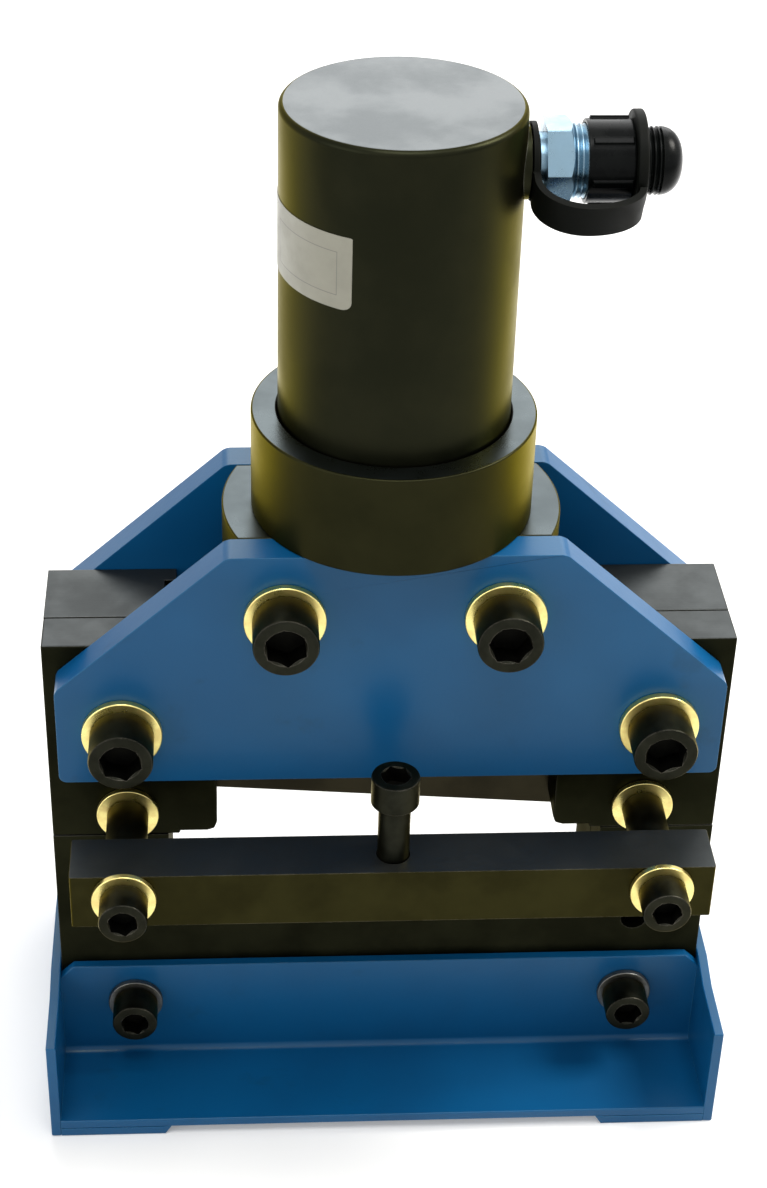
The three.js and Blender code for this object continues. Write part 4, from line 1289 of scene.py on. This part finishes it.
@dataclass
class CapScrews:
    """Socket-head screws and their washers.

    Attributes:
        m16: the screws of the plates.
        m12: the screws of the base and the bar.
        key_depth_share: depth of the key's hexagon as a share of the head's height.
        rim_share: round of the head's rim as a share of its radius.
        foot_share: chamfer under the head as a share of its radius.
        tip_share: chamfer of the shank's tip as a share of its radius.
        mouth_share: chamfer of the socket as a share of its corners' radius.
        fillet: chamfer between shank and head.
        washer_bore: gap between a washer and the shank.
        plate_washer: outer radius and thickness of the washers of the plates.
        base_washer: the same of the washers of the base.
    """

    m16: ScrewSize = ScrewSize(8 * MM, 12 * MM, 16 * MM, 14 * MM)
    m12: ScrewSize = ScrewSize(6 * MM, 9 * MM, 12 * MM, 10 * MM)
    key_depth_share: float = 0.55
    rim_share: float = 0.075
    foot_share: float = 0.04
    tip_share: float = 0.14
    mouth_share: float = 0.1
    fillet: float = 0.4 * MM
    washer_bore: float = 0.5 * MM
    plate_washer: tuple[float, float] = (15 * MM, 3 * MM)
    base_washer: tuple[float, float] = (11 * MM, 2.5 * MM)

    def pattern(self, name: str, size: ScrewSize) -> Workpiece:
        """Makes one screw on the Z axis, with the head's seat at zero.

        Args:
            name: its name.
            size: its sizes.

        Returns:
            The screw, with a shank one head high.
        """
        top = size.height
        rim = size.head * self.rim_share
        foot = size.head * self.foot_share
        tip = size.shank * self.tip_share
        piece = Workpiece.turned(name, [
            (0, -size.height), (size.shank - tip, -size.height), (size.shank, -size.height + tip),
            (size.shank, -self.fillet), (size.shank + self.fillet, 0), (size.head - foot, 0),
            (size.head, foot), (size.head, top - rim), (size.head - rim * 0.35, top - rim * 0.3),
            (size.head - rim * 1.1, top), (0, top)], 64)
        depth = size.height * self.key_depth_share
        corner = size.key / math.sqrt(3)
        mouth = corner * self.mouth_share
        piece.combine(Workpiece.rod("key", corner, top - depth, top + depth, 6), "DIFFERENCE")
        piece.combine(Workpiece.turned("mouth", [
            (0, top - mouth), (size.key / 2, top - mouth), (corner * 1.04, top + mouth),
            (0, top + mouth)], 48), "DIFFERENCE")
        piece.coat(PALETTE.black_screw)
        # Painted shade inside the key's socket.
        piece.coat(PALETTE.painted_shade_socket, lambda at, normal: 0 < at.z < top - mouth * 1.1
                   and at.xy.length < corner)
        return piece

    def set_screw(self, pattern: Workpiece, node: str, size: ScrewSize, facing: Facing,
                  turn: float) -> None:
        """Copies the pattern to a CAD screw's place, with a shank of the right length.

        Args:
            pattern: the screw to copy.
            node: the CAD screw.
            size: the screw's sizes.
            facing: where its head points.
            turn: how far the key's hexagon is turned.
        """
        low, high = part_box(node)
        middle = box_middle(node)
        seats = {
            Facing.FRONT: (middle.x, low.y + size.height, middle.z),
            Facing.REAR: (middle.x, high.y - size.height, middle.z),
            Facing.UP: (middle.x, middle.y, high.z - size.height),
        }
        length = high.z - low.z if facing is Facing.UP else high.y - low.y
        piece = pattern.copy(f"fine_{node}")
        with piece.editing():
            piece.choose_faces(lambda at, normal: at.z < size.shank * 0.16 - size.height)
            bpy.ops.transform.translate(value=(0, 0, 2 * size.height - length))
        piece.place(facing.at(seats[facing]) @ Matrix.Rotation(turn, 4, "Z"))
        piece.shade(30)
        piece.fit(node, PALETTE.black_screw)

    def ring(self, name: str, size: ScrewSize, outer: float, thick: float) -> Workpiece:
        """Makes a flat washer on the Z axis, lying on zero.

        Args:
            name: its name.
            size: the sizes of its screw.
            outer: its outer radius.
            thick: its thickness.

        Returns:
            The washer.
        """
        piece = Workpiece.tube(name, (size.shank + self.washer_bore, outer), 0, thick)
        piece.soften(thick * 0.16)
        return piece

    def build(self) -> None:
        """Sets every screw and washer that shows."""
        self.build_plate_screws()
        self.build_base_screws()
        self.build_bar_screws()

    def build_plate_screws(self) -> None:
        """Sets the eight screws of the plates with their washers."""
        pattern = self.pattern("m16_pattern", self.m16)
        ring = self.ring("m16_ring", self.m16, *self.plate_washer)
        turns = (0.1, 0.42, 0.25, 0.9, 0.6, 0.2, 0.75, 0.33)
        places = product(zip(ENDS, (Facing.FRONT, Facing.REAR)), ("upper", "lower"), SIDES)
        for ((end, facing), row, hand), turn in zip(places, turns):
            node = f"{end}_{row}_screw_{hand}"
            washer = f"{end}_{row}_washer_{hand}"
            self.set_screw(pattern, node, self.m16, facing, turn)
            middle = box_middle(node)
            seat_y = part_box(washer)[1].y if end == "front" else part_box("rear_plate")[1].y + GAP / 2
            copy = ring.copy(f"fine_{washer}")
            copy.place(facing.at((middle.x, seat_y, middle.z)))
            copy.fit(washer if end == "front" else node, PALETTE.yellow_zinc)
        pattern.discard()
        ring.discard()

    def build_base_screws(self) -> None:
        """Sets the four screws of the base with their grey washers."""
        pattern = self.pattern("m12_pattern", self.m12)
        ring = self.ring("base_ring", self.m12, *self.base_washer)
        reach = self.m12.height + GAP + self.base_washer[1]
        turns = (0.2, 0.5, 0.35, 0.7)
        places = product(zip(ENDS, (Facing.FRONT, Facing.REAR)), SIDES)
        for ((end, facing), hand), turn in zip(places, turns):
            node = f"base_{end}_screw_{hand}"
            self.set_screw(pattern, node, self.m12, facing, turn)
            low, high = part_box(node)
            middle = box_middle(node)
            face = low.y + reach if end == "front" else high.y - reach
            copy = ring.copy(f"base_{end}_washer_{hand}")
            copy.place(facing.at((middle.x, face, middle.z)))
            copy.fit(node, PALETTE.grey_washer)
        pattern.discard()
        ring.discard()

    def build_bar_screws(self) -> None:
        """Sets the two long screws of the hold-down bar, its middle screw and their washers."""
        pattern = self.pattern("m12_pattern", self.m12)
        for hand, turn in zip(SIDES, (0.15, 0.45)):
            self.set_screw(pattern, f"bar_screw_{hand}", self.m12, Facing.FRONT, turn)
        self.set_screw(pattern, "hold_down_screw", self.m12, Facing.UP, 0.3)
        pattern.discard()
        for kind, hand in product(("bar", "sleeve"), SIDES):
            node = f"{kind}_washer_{hand}"
            low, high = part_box(node)
            middle = box_middle(node)
            ring = self.ring(f"fine_{node}", self.m12, (high.x - low.x) / 2, high.y - low.y)
            ring.place(Facing.FRONT.at((middle.x, high.y, middle.z)))
            ring.fit(node, PALETTE.yellow_zinc)


@dataclass
class HoldDown:
    """Hold-down bar and the two sleeves behind it.

    Attributes:
        hole: radius of the screw holes.
        corner: radius of the bar's upright edges.
        edge: its other broken edges.
        sleeve_edge: broken edges of the sleeves.
    """

    hole: float = 6.3 * MM
    corner: float = 0.9 * MM
    edge: float = 0.6 * MM
    sleeve_edge: float = 0.5 * MM

    def build(self) -> None:
        """Builds the bar and the sleeves."""
        node = "hold_down_bar"
        low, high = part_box(node)
        piece = Workpiece.block(f"fine_{node}", low, high)
        with piece.editing():
            piece.choose_edges(lambda at, along: abs(along.z) > ALIGNED)
            piece.round_chosen(self.corner, 4)
        for hand in SIDES:
            piece.drill_for(f"bar_screw_{hand}", self.hole, (low.y + high.y) / 2, high.y - low.y)
        piece.drill(self.hole, (low + high) / 2, Facing.UP, high.z - low.z)
        piece.soften(self.edge)
        piece.coat(PALETTE.black_bar)
        # Painted highlight: the top faces get a lighter finish.
        piece.coat(PALETTE.painted_lit_top, looks_up)
        piece.fit(node, PALETTE.black_bar)
        for hand in SIDES:
            self.build_sleeve(f"bar_sleeve_{hand}")

    def build_sleeve(self, node: str) -> None:
        """Turns the sleeve behind one end of the bar.

        Args:
            node: the CAD sleeve.
        """
        low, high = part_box(node)
        middle = box_middle(node)
        radii = (self.hole, (high.x - low.x) / 2)
        piece = Workpiece.tube(f"fine_{node}", radii, 0, high.y - low.y, 64)
        piece.soften(self.sleeve_edge)
        piece.place(Facing.FRONT.at((middle.x, high.y, middle.z)))
        piece.fit(node, PALETTE.black_screw)


@dataclass
class OilCoupler:
    """Plated nipple, ribbed sleeve, dust plug with its eye, and the strap.

    Attributes:
        bore: radius of the oil way.
        spigot: radius of the spigot in the port.
        neck: radius of the neck.
        neck_edge: chamfer of its end.
        neck_length: length of the neck.
        hex_flats: width across the flats of the hexagon.
        hex_length: length of the hexagon.
        hex_turn: how far its front corner is turned up.
        hex_edge: radius of its long edges.
        hex_face_share: radius of the flat end of the hexagon as a share of half its width.
        hex_chamfer: slope of its chamfered corners.
        thread: radius of the nipple's thread.
        lead_in: chamfer at its end.
        pitch: pitch of the threads.
        thread_depth: depth of the threads.
        ribs: ribs round the sleeve.
        rib_faces: faces of the sleeve for each rib.
        rib_from: where a rib starts in its share of the turn, in degrees.
        rib_to: where it ends.
        rib_depth: how far the ribs stand proud.
        rib_margin: length without ribs at the sleeve's inner end.
        rib_turn: how far they are turned forwards.
        lip: width of the ring at the sleeve's inner end.
        sleeve_edge: broken edges of the sleeve.
        plug_edge: chamfer of the plug's inner end.
        plug_thread: length of the plug's thread that shows.
        dome_power: how blunt the plug's dome is; less is blunter.
        ring_edge: broken edges of the plug's eye.
        eye: radius of the strap's eye on the port.
        eye_thick: thickness of that eye.
        strap_width: width of the strap.
        strap_thick: thickness of the strap.
        strap_edge: its broken edges.
        strap_rise: how far its first stretch runs straight.
        strap_sag: how far it hangs out beyond the boss.
        strap_steps: bends in the strap.
        strap_turn: how far it has swung forwards about the coupler's axis.
        boss: radius of the boss on the barrel.
    """

    bore: float = 3 * MM
    spigot: float = 7 * MM
    neck: float = 9.8 * MM
    neck_edge: float = 0.5 * MM
    neck_length: float = 2.2 * MM
    hex_flats: float = 27 * MM
    hex_length: float = 9.5 * MM
    hex_turn: float = math.radians(3.2)
    hex_edge: float = 0.3 * MM
    hex_face_share: float = 0.95
    hex_chamfer: float = math.radians(30)
    thread: float = 12.6 * MM
    lead_in: float = 0.8 * MM
    pitch: float = 1.8 * MM
    thread_depth: float = 0.8 * MM
    ribs: int = 6
    rib_faces: int = 12
    rib_from: float = 25.0
    rib_to: float = 35.0
    rib_depth: float = 1 * MM
    rib_margin: float = 1.6 * MM
    rib_turn: float = math.radians(9.5)
    lip: float = 0.9 * MM
    sleeve_edge: float = 0.35 * MM
    plug_edge: float = 0.4 * MM
    plug_thread: float = 5.6 * MM
    dome_power: float = 0.75
    ring_edge: float = 0.8 * MM
    eye: float = 13.4 * MM
    eye_thick: float = 2 * MM
    strap_width: float = 14 * MM
    strap_thick: float = 2.4 * MM
    strap_edge: float = 0.5 * MM
    strap_rise: float = 3 * MM
    strap_sag: float = 13 * MM
    strap_steps: int = 28
    strap_turn: float = math.radians(65)
    boss: float = 13 * MM

    def centre(self) -> Vector:
        """Returns where the coupler's axis meets the plane through the barrel's axis."""
        middle = box_middle("coupler_sleeve")
        return Vector((0, middle.y, middle.z))

    def axis(self) -> Matrix:
        """Returns the turn and place that bring +Z onto the coupler's axis."""
        return Facing.RIGHT.at(self.centre())

    def swing(self) -> Matrix:
        """Returns the turn and place that bring the strap from hanging straight down to where it is."""
        return Matrix.Translation(self.centre()) @ Matrix.Rotation(-self.strap_turn, 4, "X")

    def barrel_face(self) -> float:
        """Returns where the port's boss ends along X."""
        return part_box("cylinder_barrel")[1].x

    def thread_rings(self, radius: float, start: float, end: float) -> Profile:
        """Draws the profile of a thread.

        Args:
            radius: its outer radius.
            start: where it starts along the axis.
            end: where it ends.

        Returns:
            Radius and place along the axis of each corner.
        """
        points = []
        for turn in range(int((end - start) / self.pitch)):
            at = start + turn * self.pitch
            points += [(radius - self.thread_depth, at), (radius, at + self.pitch * 0.4),
                       (radius, at + self.pitch * 0.6)]
        return [*points, (radius - self.thread_depth, end)]

    def build(self) -> None:
        """Builds the coupler's pieces."""
        self.build_nipple()
        self.build_sleeve()
        self.build_plug()
        self.build_plug_eye()
        self.build_strap()

    def build_nipple(self) -> None:
        """Turns the nipple and joins its hexagon."""
        node = "coupler_nipple"
        low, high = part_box(node)
        neck_start = self.barrel_face() + self.eye_thick + 2 * GAP
        hex_start = neck_start + self.neck_length
        hex_end = hex_start + self.hex_length
        piece = Workpiece.turned(f"fine_{node}", [
            (self.bore, low.x), (self.spigot, low.x), (self.spigot, neck_start),
            (self.neck - self.neck_edge, neck_start), (self.neck, neck_start + self.neck_edge),
            (self.neck, hex_end), *self.thread_rings(self.thread, hex_end, high.x - self.lead_in),
            (self.thread - 2 * self.lead_in, high.x), (self.bore, high.x)], 72)
        piece.combine(self.hexagon(hex_start, hex_end), "UNION")
        corner = self.hex_flats / math.sqrt(3)
        with piece.editing():
            piece.choose_edges(lambda at, along: abs(along.z) > ALIGNED and at.xy.length > corner * 0.97)
            piece.round_chosen(self.hex_edge, 2)
        piece.place(self.axis())
        piece.shade(28)
        piece.fit(node, PALETTE.bright_zinc)

    def hexagon(self, start: float, end: float) -> Workpiece:
        """Cuts the hexagon, with its outer corners chamfered.

        Args:
            start: its inner end along the axis.
            end: its outer end.

        Returns:
            The hexagon, hollow so that it only touches the neck.
        """
        corner = self.hex_flats / math.sqrt(3)
        nut = Workpiece.rod("nut", corner, start, end, 6)
        nut.place(Matrix.Rotation(-self.hex_turn, 4, "Z"))
        face = self.hex_flats / 2 * self.hex_face_share
        outside = corner + MM
        chamfer = (outside - face) * math.tan(self.hex_chamfer)
        nut.combine(Workpiece.turned("cone", [
            (0, start), (outside, start), (outside, end - chamfer), (face, end), (0, end)], 96),
            "INTERSECT")
        nut.combine(Workpiece.rod("way", self.neck - MM, start - MM, end + MM, 48), "DIFFERENCE")
        return nut

    def build_sleeve(self) -> None:
        """Builds the ribbed sleeve from a rod with raised strips."""
        node = "coupler_sleeve"
        low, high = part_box(node)
        body = (high.z - low.z) / 2 - self.rib_depth
        rib_low = low.x + self.rib_margin
        rib_high = high.x - self.rib_margin / 2
        piece = Workpiece.rod(f"fine_{node}", body, low.x, high.x, self.ribs * self.rib_faces)

        def on_rib(at: Vector, normal: Vector) -> bool:
            """Returns whether a face with this middle and normal belongs to a rib."""
            turn = math.degrees(math.atan2(at.y, at.x)) % (360 / self.ribs)
            return (abs(normal.z) < 0.1 and rib_low < at.z < rib_high
                    and self.rib_from < turn < self.rib_to)

        with piece.editing():
            for height in (rib_low, rib_high):
                piece.slice((0, 0, height), (0, 0, 1), clear=False)
            piece.choose_faces(on_rib)
            bpy.ops.mesh.extrude_region_shrink_fatten(
                TRANSFORM_OT_shrink_fatten={"value": self.rib_depth})
            piece.choose_faces(lambda at, normal: normal.z < -ALIGNED and near(at.z, low.x))
            bpy.ops.mesh.inset(thickness=self.lip)
        hole = Workpiece.rod("hole", self.thread + GAP, low.x - MM, high.x + MM)
        piece.combine(hole, "DIFFERENCE")
        piece.soften(self.sleeve_edge, 2)
        piece.place(self.axis() @ Matrix.Rotation(self.rib_turn, 4, "Z"))
        piece.fit(node, PALETTE.plastic)

    def plug_core(self) -> float:
        """Returns the radius of the dust plug under its thread."""
        low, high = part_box("dust_plug")
        return (high.z - low.z) / 2 - self.thread_depth

    def build_plug(self) -> None:
        """Turns the dust plug with its thread and dome."""
        node = "dust_plug"
        low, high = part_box(node)
        core = self.plug_core()
        radius = core + self.thread_depth
        thread_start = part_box("dust_plug_eye")[1].x + GAP
        thread_end = thread_start + self.plug_thread
        dome = [(radius * math.cos(angle) ** self.dome_power,
                 thread_end + (high.x - thread_end) * math.sin(angle)) for angle in quarter_turn(10)]
        piece = Workpiece.turned(f"fine_{node}", [
            (0, low.x), (core - self.plug_edge, low.x), (core, low.x + self.plug_edge),
            (core, thread_start), *self.thread_rings(radius, thread_start, thread_end - GAP / 2),
            *dome], 64)
        piece.place(self.axis())
        piece.shade(35)
        piece.fit(node, PALETTE.plastic)

    def build_plug_eye(self) -> None:
        """Turns the eye of the strap round the dust plug."""
        node = "dust_plug_eye"
        low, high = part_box(node)
        piece = Workpiece.tube(f"fine_{node}", (self.plug_core() + GAP, (high.z - low.z) / 2), low.x, high.x)
        piece.soften(self.ring_edge, 4)
        piece.place(self.axis())
        piece.fit(node, PALETTE.matt_plastic)

    def strap_line(self) -> list[Vector]:
        """Draws the strap's middle line, hanging straight down from an axis at zero.

        Returns:
            Its points, from the port's eye to the plug's.
        """
        eye_low, eye_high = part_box("dust_plug_eye")
        start_x = self.barrel_face() + GAP + self.strap_thick / 2
        end_x = (eye_low.x + eye_high.x) / 2
        middle_x = (start_x + end_x) / 2
        start_top = -self.eye
        end_top = (eye_low.z - eye_high.z) / 2 - GAP
        lowest = -self.boss - self.strap_sag
        points = [Vector((start_x, 0, start_top + self.strap_rise))]
        for step in range(self.strap_steps + 1):
            angle = math.pi + step / self.strap_steps * math.pi
            top = start_top if step * 2 < self.strap_steps else end_top
            points.append(Vector((middle_x + (end_x - start_x) / 2 * math.cos(angle), 0,
                                  top + (top - lowest) * math.sin(angle))))
        return points

    def build_strap(self) -> None:
        """Bends the strap from a flat strip and joins it with its eye."""
        node = "dust_strap"
        line = self.strap_line()
        bpy.ops.object.select_all(action="DESELECT")
        bpy.ops.mesh.primitive_plane_add(size=self.strap_width, location=line[0])
        piece = Workpiece(f"fine_{node}").settled()
        with piece.editing():
            piece.choose_edges(lambda at, along: abs(along.y) > ALIGNED and at.x > line[0].x)
            bpy.ops.mesh.delete(type="EDGE")
            piece.choose_edges(lambda at, along: abs(along.y) > ALIGNED)
            bpy.ops.transform.translate(value=(self.strap_width / 2, 0, 0))
            for start, end in pairwise(line):
                piece.extrude(end - start)
            piece.close_seams()
        wall = piece.obj.modifiers.new("wall", "SOLIDIFY")
        wall.thickness = self.strap_thick
        wall.offset = 0.0
        wall.use_even_offset = True
        piece.apply(wall)
        with piece.editing():
            piece.close_seams()
        face = self.barrel_face() + GAP
        eye = Workpiece.tube("eye", (self.spigot + GAP, self.eye), face, face + self.eye_thick)
        eye.place(Facing.RIGHT.turn())
        piece.combine(eye, "UNION")
        piece.soften(self.strap_edge, 2)
        piece.place(self.swing())
        piece.coat(PALETTE.matt_plastic)
        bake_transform(piece.obj)
        piece.declare(PALETTE.matt_plastic, node)


@dataclass
class FrameAndBlades:
    """The black blocks, the blades and the inner pieces, which keep their CAD shapes.

    Attributes:
        block_edge: broken edges of the blocks.
        blade_edge: broken edges of the blades.
        rod_edge: broken edges of the ram and its pin.
        small_edge: broken edges of the small pieces.
        flat_angle: the most that two faces turn, in degrees, and still count as one.
        sharp_angle: the least turn of an edge that is broken, in degrees.
    """

    block_edge: float = 0.7 * MM
    blade_edge: float = 0.2 * MM
    rod_edge: float = 0.4 * MM
    small_edge: float = 0.3 * MM
    flat_angle: float = 0.5
    sharp_angle: float = 35.0

    def build(self) -> None:
        """Dresses the nodes that stay."""
        for node in ("left_rear_post", "right_rear_post", "left_front_guide", "right_front_guide",
                     "lower_blade_carrier", "blade_holder"):
            # Painted highlight: the highest faces of the blocks get a lighter finish.
            self.dress(node, PALETTE.black_block, self.block_edge, PALETTE.painted_lit_top)
        for node in ("lower_blade", "upper_blade"):
            self.dress(node, PALETTE.blade_steel, self.blade_edge)
        for node in ("lower_blade_screw_left", "lower_blade_screw_right", "upper_blade_screw_left",
                     "upper_blade_screw_right", "hold_down_pad"):
            self.dress(node, PALETTE.black_screw, self.small_edge)
        for node in ("ram", "ram_pin"):
            self.dress(node, PALETTE.bright_steel, self.rod_edge)
        self.dress("return_spring", PALETTE.bright_steel, 0)
        self.dress("rod_bush", PALETTE.bronze, self.small_edge)
        self.dress("piston_seal", PALETTE.rubber, self.small_edge)

    def dress(self, node: str, finish: Finish, edge: float, top: Finish | None = None) -> None:
        """Gives a CAD node that stays its finish and broken edges.

        Args:
            node: the node's name.
            finish: its finish.
            edge: width of the broken edges, or 0 for none.
            top: finish of its highest faces, if it differs; there a lighter one paints the highlight of the
                light above.
        """
        obj = frame["nodes"][node]
        obj.data.materials.clear()
        coat_faces(obj, finish)
        if top:
            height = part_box(node)[1].z - MERGE
            # Painted highlight on the highest upward faces.
            coat_faces(obj, top, lambda at, normal: looks_up(at, normal) and at.z > height)
        if edge > 0:
            weld = obj.modifiers.new("weld", "WELD")
            weld.merge_threshold = MERGE
            flat = obj.modifiers.new("flat_faces", "DECIMATE")
            flat.decimate_type = "DISSOLVE"
            flat.angle_limit = math.radians(self.flat_angle)
            bevel_edges(obj, edge, 2, self.sharp_angle)
        LOG.info("%s: dressed", node)


@dataclass(frozen=True)
class SoftLamp:
    """Square soft lamp.

    Attributes:
        name: its name.
        place: where it stands.
        size: its width.
        power: its power in watts.
        colour: its colour.
        target: the point that it looks at.
    """

    name: str
    place: Point
    size: float
    power: float
    colour: Colour = WHITE
    target: Point = (0.0, 0.0, 0.2)

    def light(self) -> None:
        """Adds the lamp."""
        data = bpy.data.lights.new(self.name, "AREA")
        data.shape = "SQUARE"
        data.size = self.size
        data.energy = self.power
        data.color = self.colour
        lamp = bpy.data.objects.new(self.name, data)
        bpy.context.scene.collection.objects.link(lamp)
        lamp.location = self.place
        aim = Vector(self.target) - Vector(self.place)
        lamp.rotation_euler = aim.to_track_quat("-Z", "Y").to_euler()


@dataclass(frozen=True)
class FloorSheet:
    """Plain pale studio floor that keeps the object's shadow.

    Attributes:
        size: its width in metres.
        depth: how far it lies under the feet.
        colour: its colour.
        lift: light added where the camera sees it directly.
        far_lift: more of that light, far from the object.
        far_from: distance from the object at which that starts.
        far_to: distance at which it is full.
        glow_from: place along Y at which its glow in reflections starts, behind the operator.
        glow_to: place at which the glow is full.
        grain_size: size of its faint grain.
    """

    size: float = 12.0
    depth: float = 0.2 * MM
    colour: Colour = (0.86, 0.86, 0.855)
    lift: float = 0.22
    far_lift: float = 0.75
    far_from: float = 0.7
    far_to: float = 2.2
    glow_from: float = -0.15
    glow_to: float = 0.25
    grain_size: float = 25 * MM

    def lay(self) -> None:
        """Lays the floor."""
        bpy.ops.object.select_all(action="DESELECT")
        bpy.ops.mesh.primitive_plane_add(size=self.size, location=(0, 0, -self.depth))
        floor = Workpiece("studio_floor").settled()
        floor.obj.data.materials.append(self.material())

    def material(self) -> bpy.types.Material:
        """Makes the floor's material.

        Returns:
            The material.
        """
        graph = ShaderGraph(bpy.data.materials.new("pale_floor"))
        seen = graph.node("ShaderNodeLightPath", output="Is Camera Ray")
        mirrored = graph.node("ShaderNodeLightPath", output="Is Glossy Ray")
        across, along, _ = graph.axes(graph.place())
        far = graph.ramp(graph.length(across, along), self.far_from, self.far_to)
        behind = graph.ramp(along, self.glow_from, self.glow_to)
        grain = graph.noise(graph.place(), self.grain_size)
        light = seen * (far * self.far_lift + self.lift) + mirrored * behind
        return graph.finish(Base_Color=self.colour, Roughness=0.85 + grain * 0.05,
                            Emission_Color=light, Emission_Strength=1.0)


@dataclass
class Studio:
    """Camera, lamps, world and floor.

    Attributes:
        picture: width and height of the picture in pixels.
        focal: focal length in pixels.
        optical_centre: where the lens axis meets the picture, in pixels.
        position: place of the camera.
        yaw: turn to the right in degrees.
        pitch: tilt above the horizon in degrees.
        roll: turn about the view in degrees.
        ambient: strength of the world's plain light.
        lamps: the soft lamps.
    """

    picture: tuple[int, int] = (767, 1188)
    focal: float = 2376.37
    optical_centre: tuple[float, float] = (359.23, 613.89)
    position: Point = (-0.05873, -0.73610, 0.71830)
    yaw: float = 3.68
    pitch: float = -34.45
    roll: float = -1.40
    ambient: float = 0.42
    lamps: tuple[SoftLamp, ...] = (
        SoftLamp("sky_behind", (0.15, 1.35, 1.25), 1.5, 17.0),
        SoftLamp("key_right", (1.15, 0.15, 1.35), 0.55, 23.0, (1.0, 0.97, 0.9)),
        SoftLamp("fill_left", (-1.3, -0.9, 0.8), 1.2, 6.0),
        SoftLamp("fill_front", (0.0, -0.55, 2.2), 1.0, 20.0),
    )

    def build(self) -> None:
        """Sets up the whole studio."""
        self.add_camera()
        self.light_world()
        for lamp in self.lamps:
            lamp.light()
        FloorSheet().lay()
        bpy.context.scene.view_settings.view_transform = "Standard"

    def add_camera(self) -> None:
        """Adds the camera at the photograph's place."""
        yaw, pitch, roll = (math.radians(angle) for angle in (self.yaw, self.pitch, self.roll))
        forward = Vector((math.sin(yaw) * math.cos(pitch), math.cos(yaw) * math.cos(pitch),
                          math.sin(pitch)))
        right = Vector((math.cos(yaw), -math.sin(yaw), 0))
        down = forward.cross(right)
        across = right * math.cos(roll) + down * math.sin(roll)
        up = right * math.sin(roll) - down * math.cos(roll)
        width, height = self.picture
        data = bpy.data.cameras.new("camera")
        data.sensor_fit = "VERTICAL"
        data.sensor_height = 36.0
        data.lens = self.focal / height * data.sensor_height
        data.shift_x = (width / 2 - self.optical_centre[0]) / height
        data.shift_y = (self.optical_centre[1] - height / 2) / height
        data.clip_start = 0.05
        camera = bpy.data.objects.new("camera", data)
        bpy.context.scene.collection.objects.link(camera)
        turn = Matrix((across, up, -forward)).transposed().to_4x4()
        camera.matrix_world = Matrix.Translation(self.position) @ turn
        bpy.context.scene.camera = camera

    def light_world(self) -> None:
        """Makes the world a plain light that looks white where it is seen."""
        world = bpy.data.worlds.new("white_room")
        bpy.context.scene.world = world
        graph = ShaderGraph(world)
        seen = 0.0
        for ray in ("Is Camera Ray", "Is Glossy Ray", "Is Transmission Ray"):
            seen = graph.maths("MAXIMUM", seen, graph.node("ShaderNodeLightPath", output=ray))
        background = graph.node("ShaderNodeBackground", inputs={
            "Color": WHITE, "Strength": seen * (1.0 - self.ambient) + self.ambient})
        graph.add("ShaderNodeOutputWorld", inputs={"Surface": background})


def main() -> None:
    """Builds the dressed machine and its studio."""
    logging.basicConfig(level=logging.INFO, format="%(name)s: %(message)s")
    for assembly in (Studio(), SheetBase(), SidePlates(), PressCylinder(), CapScrews(), HoldDown(),
                     OilCoupler(), FrameAndBlades()):
        assembly.build()


if __name__ == "__main__":
    main()
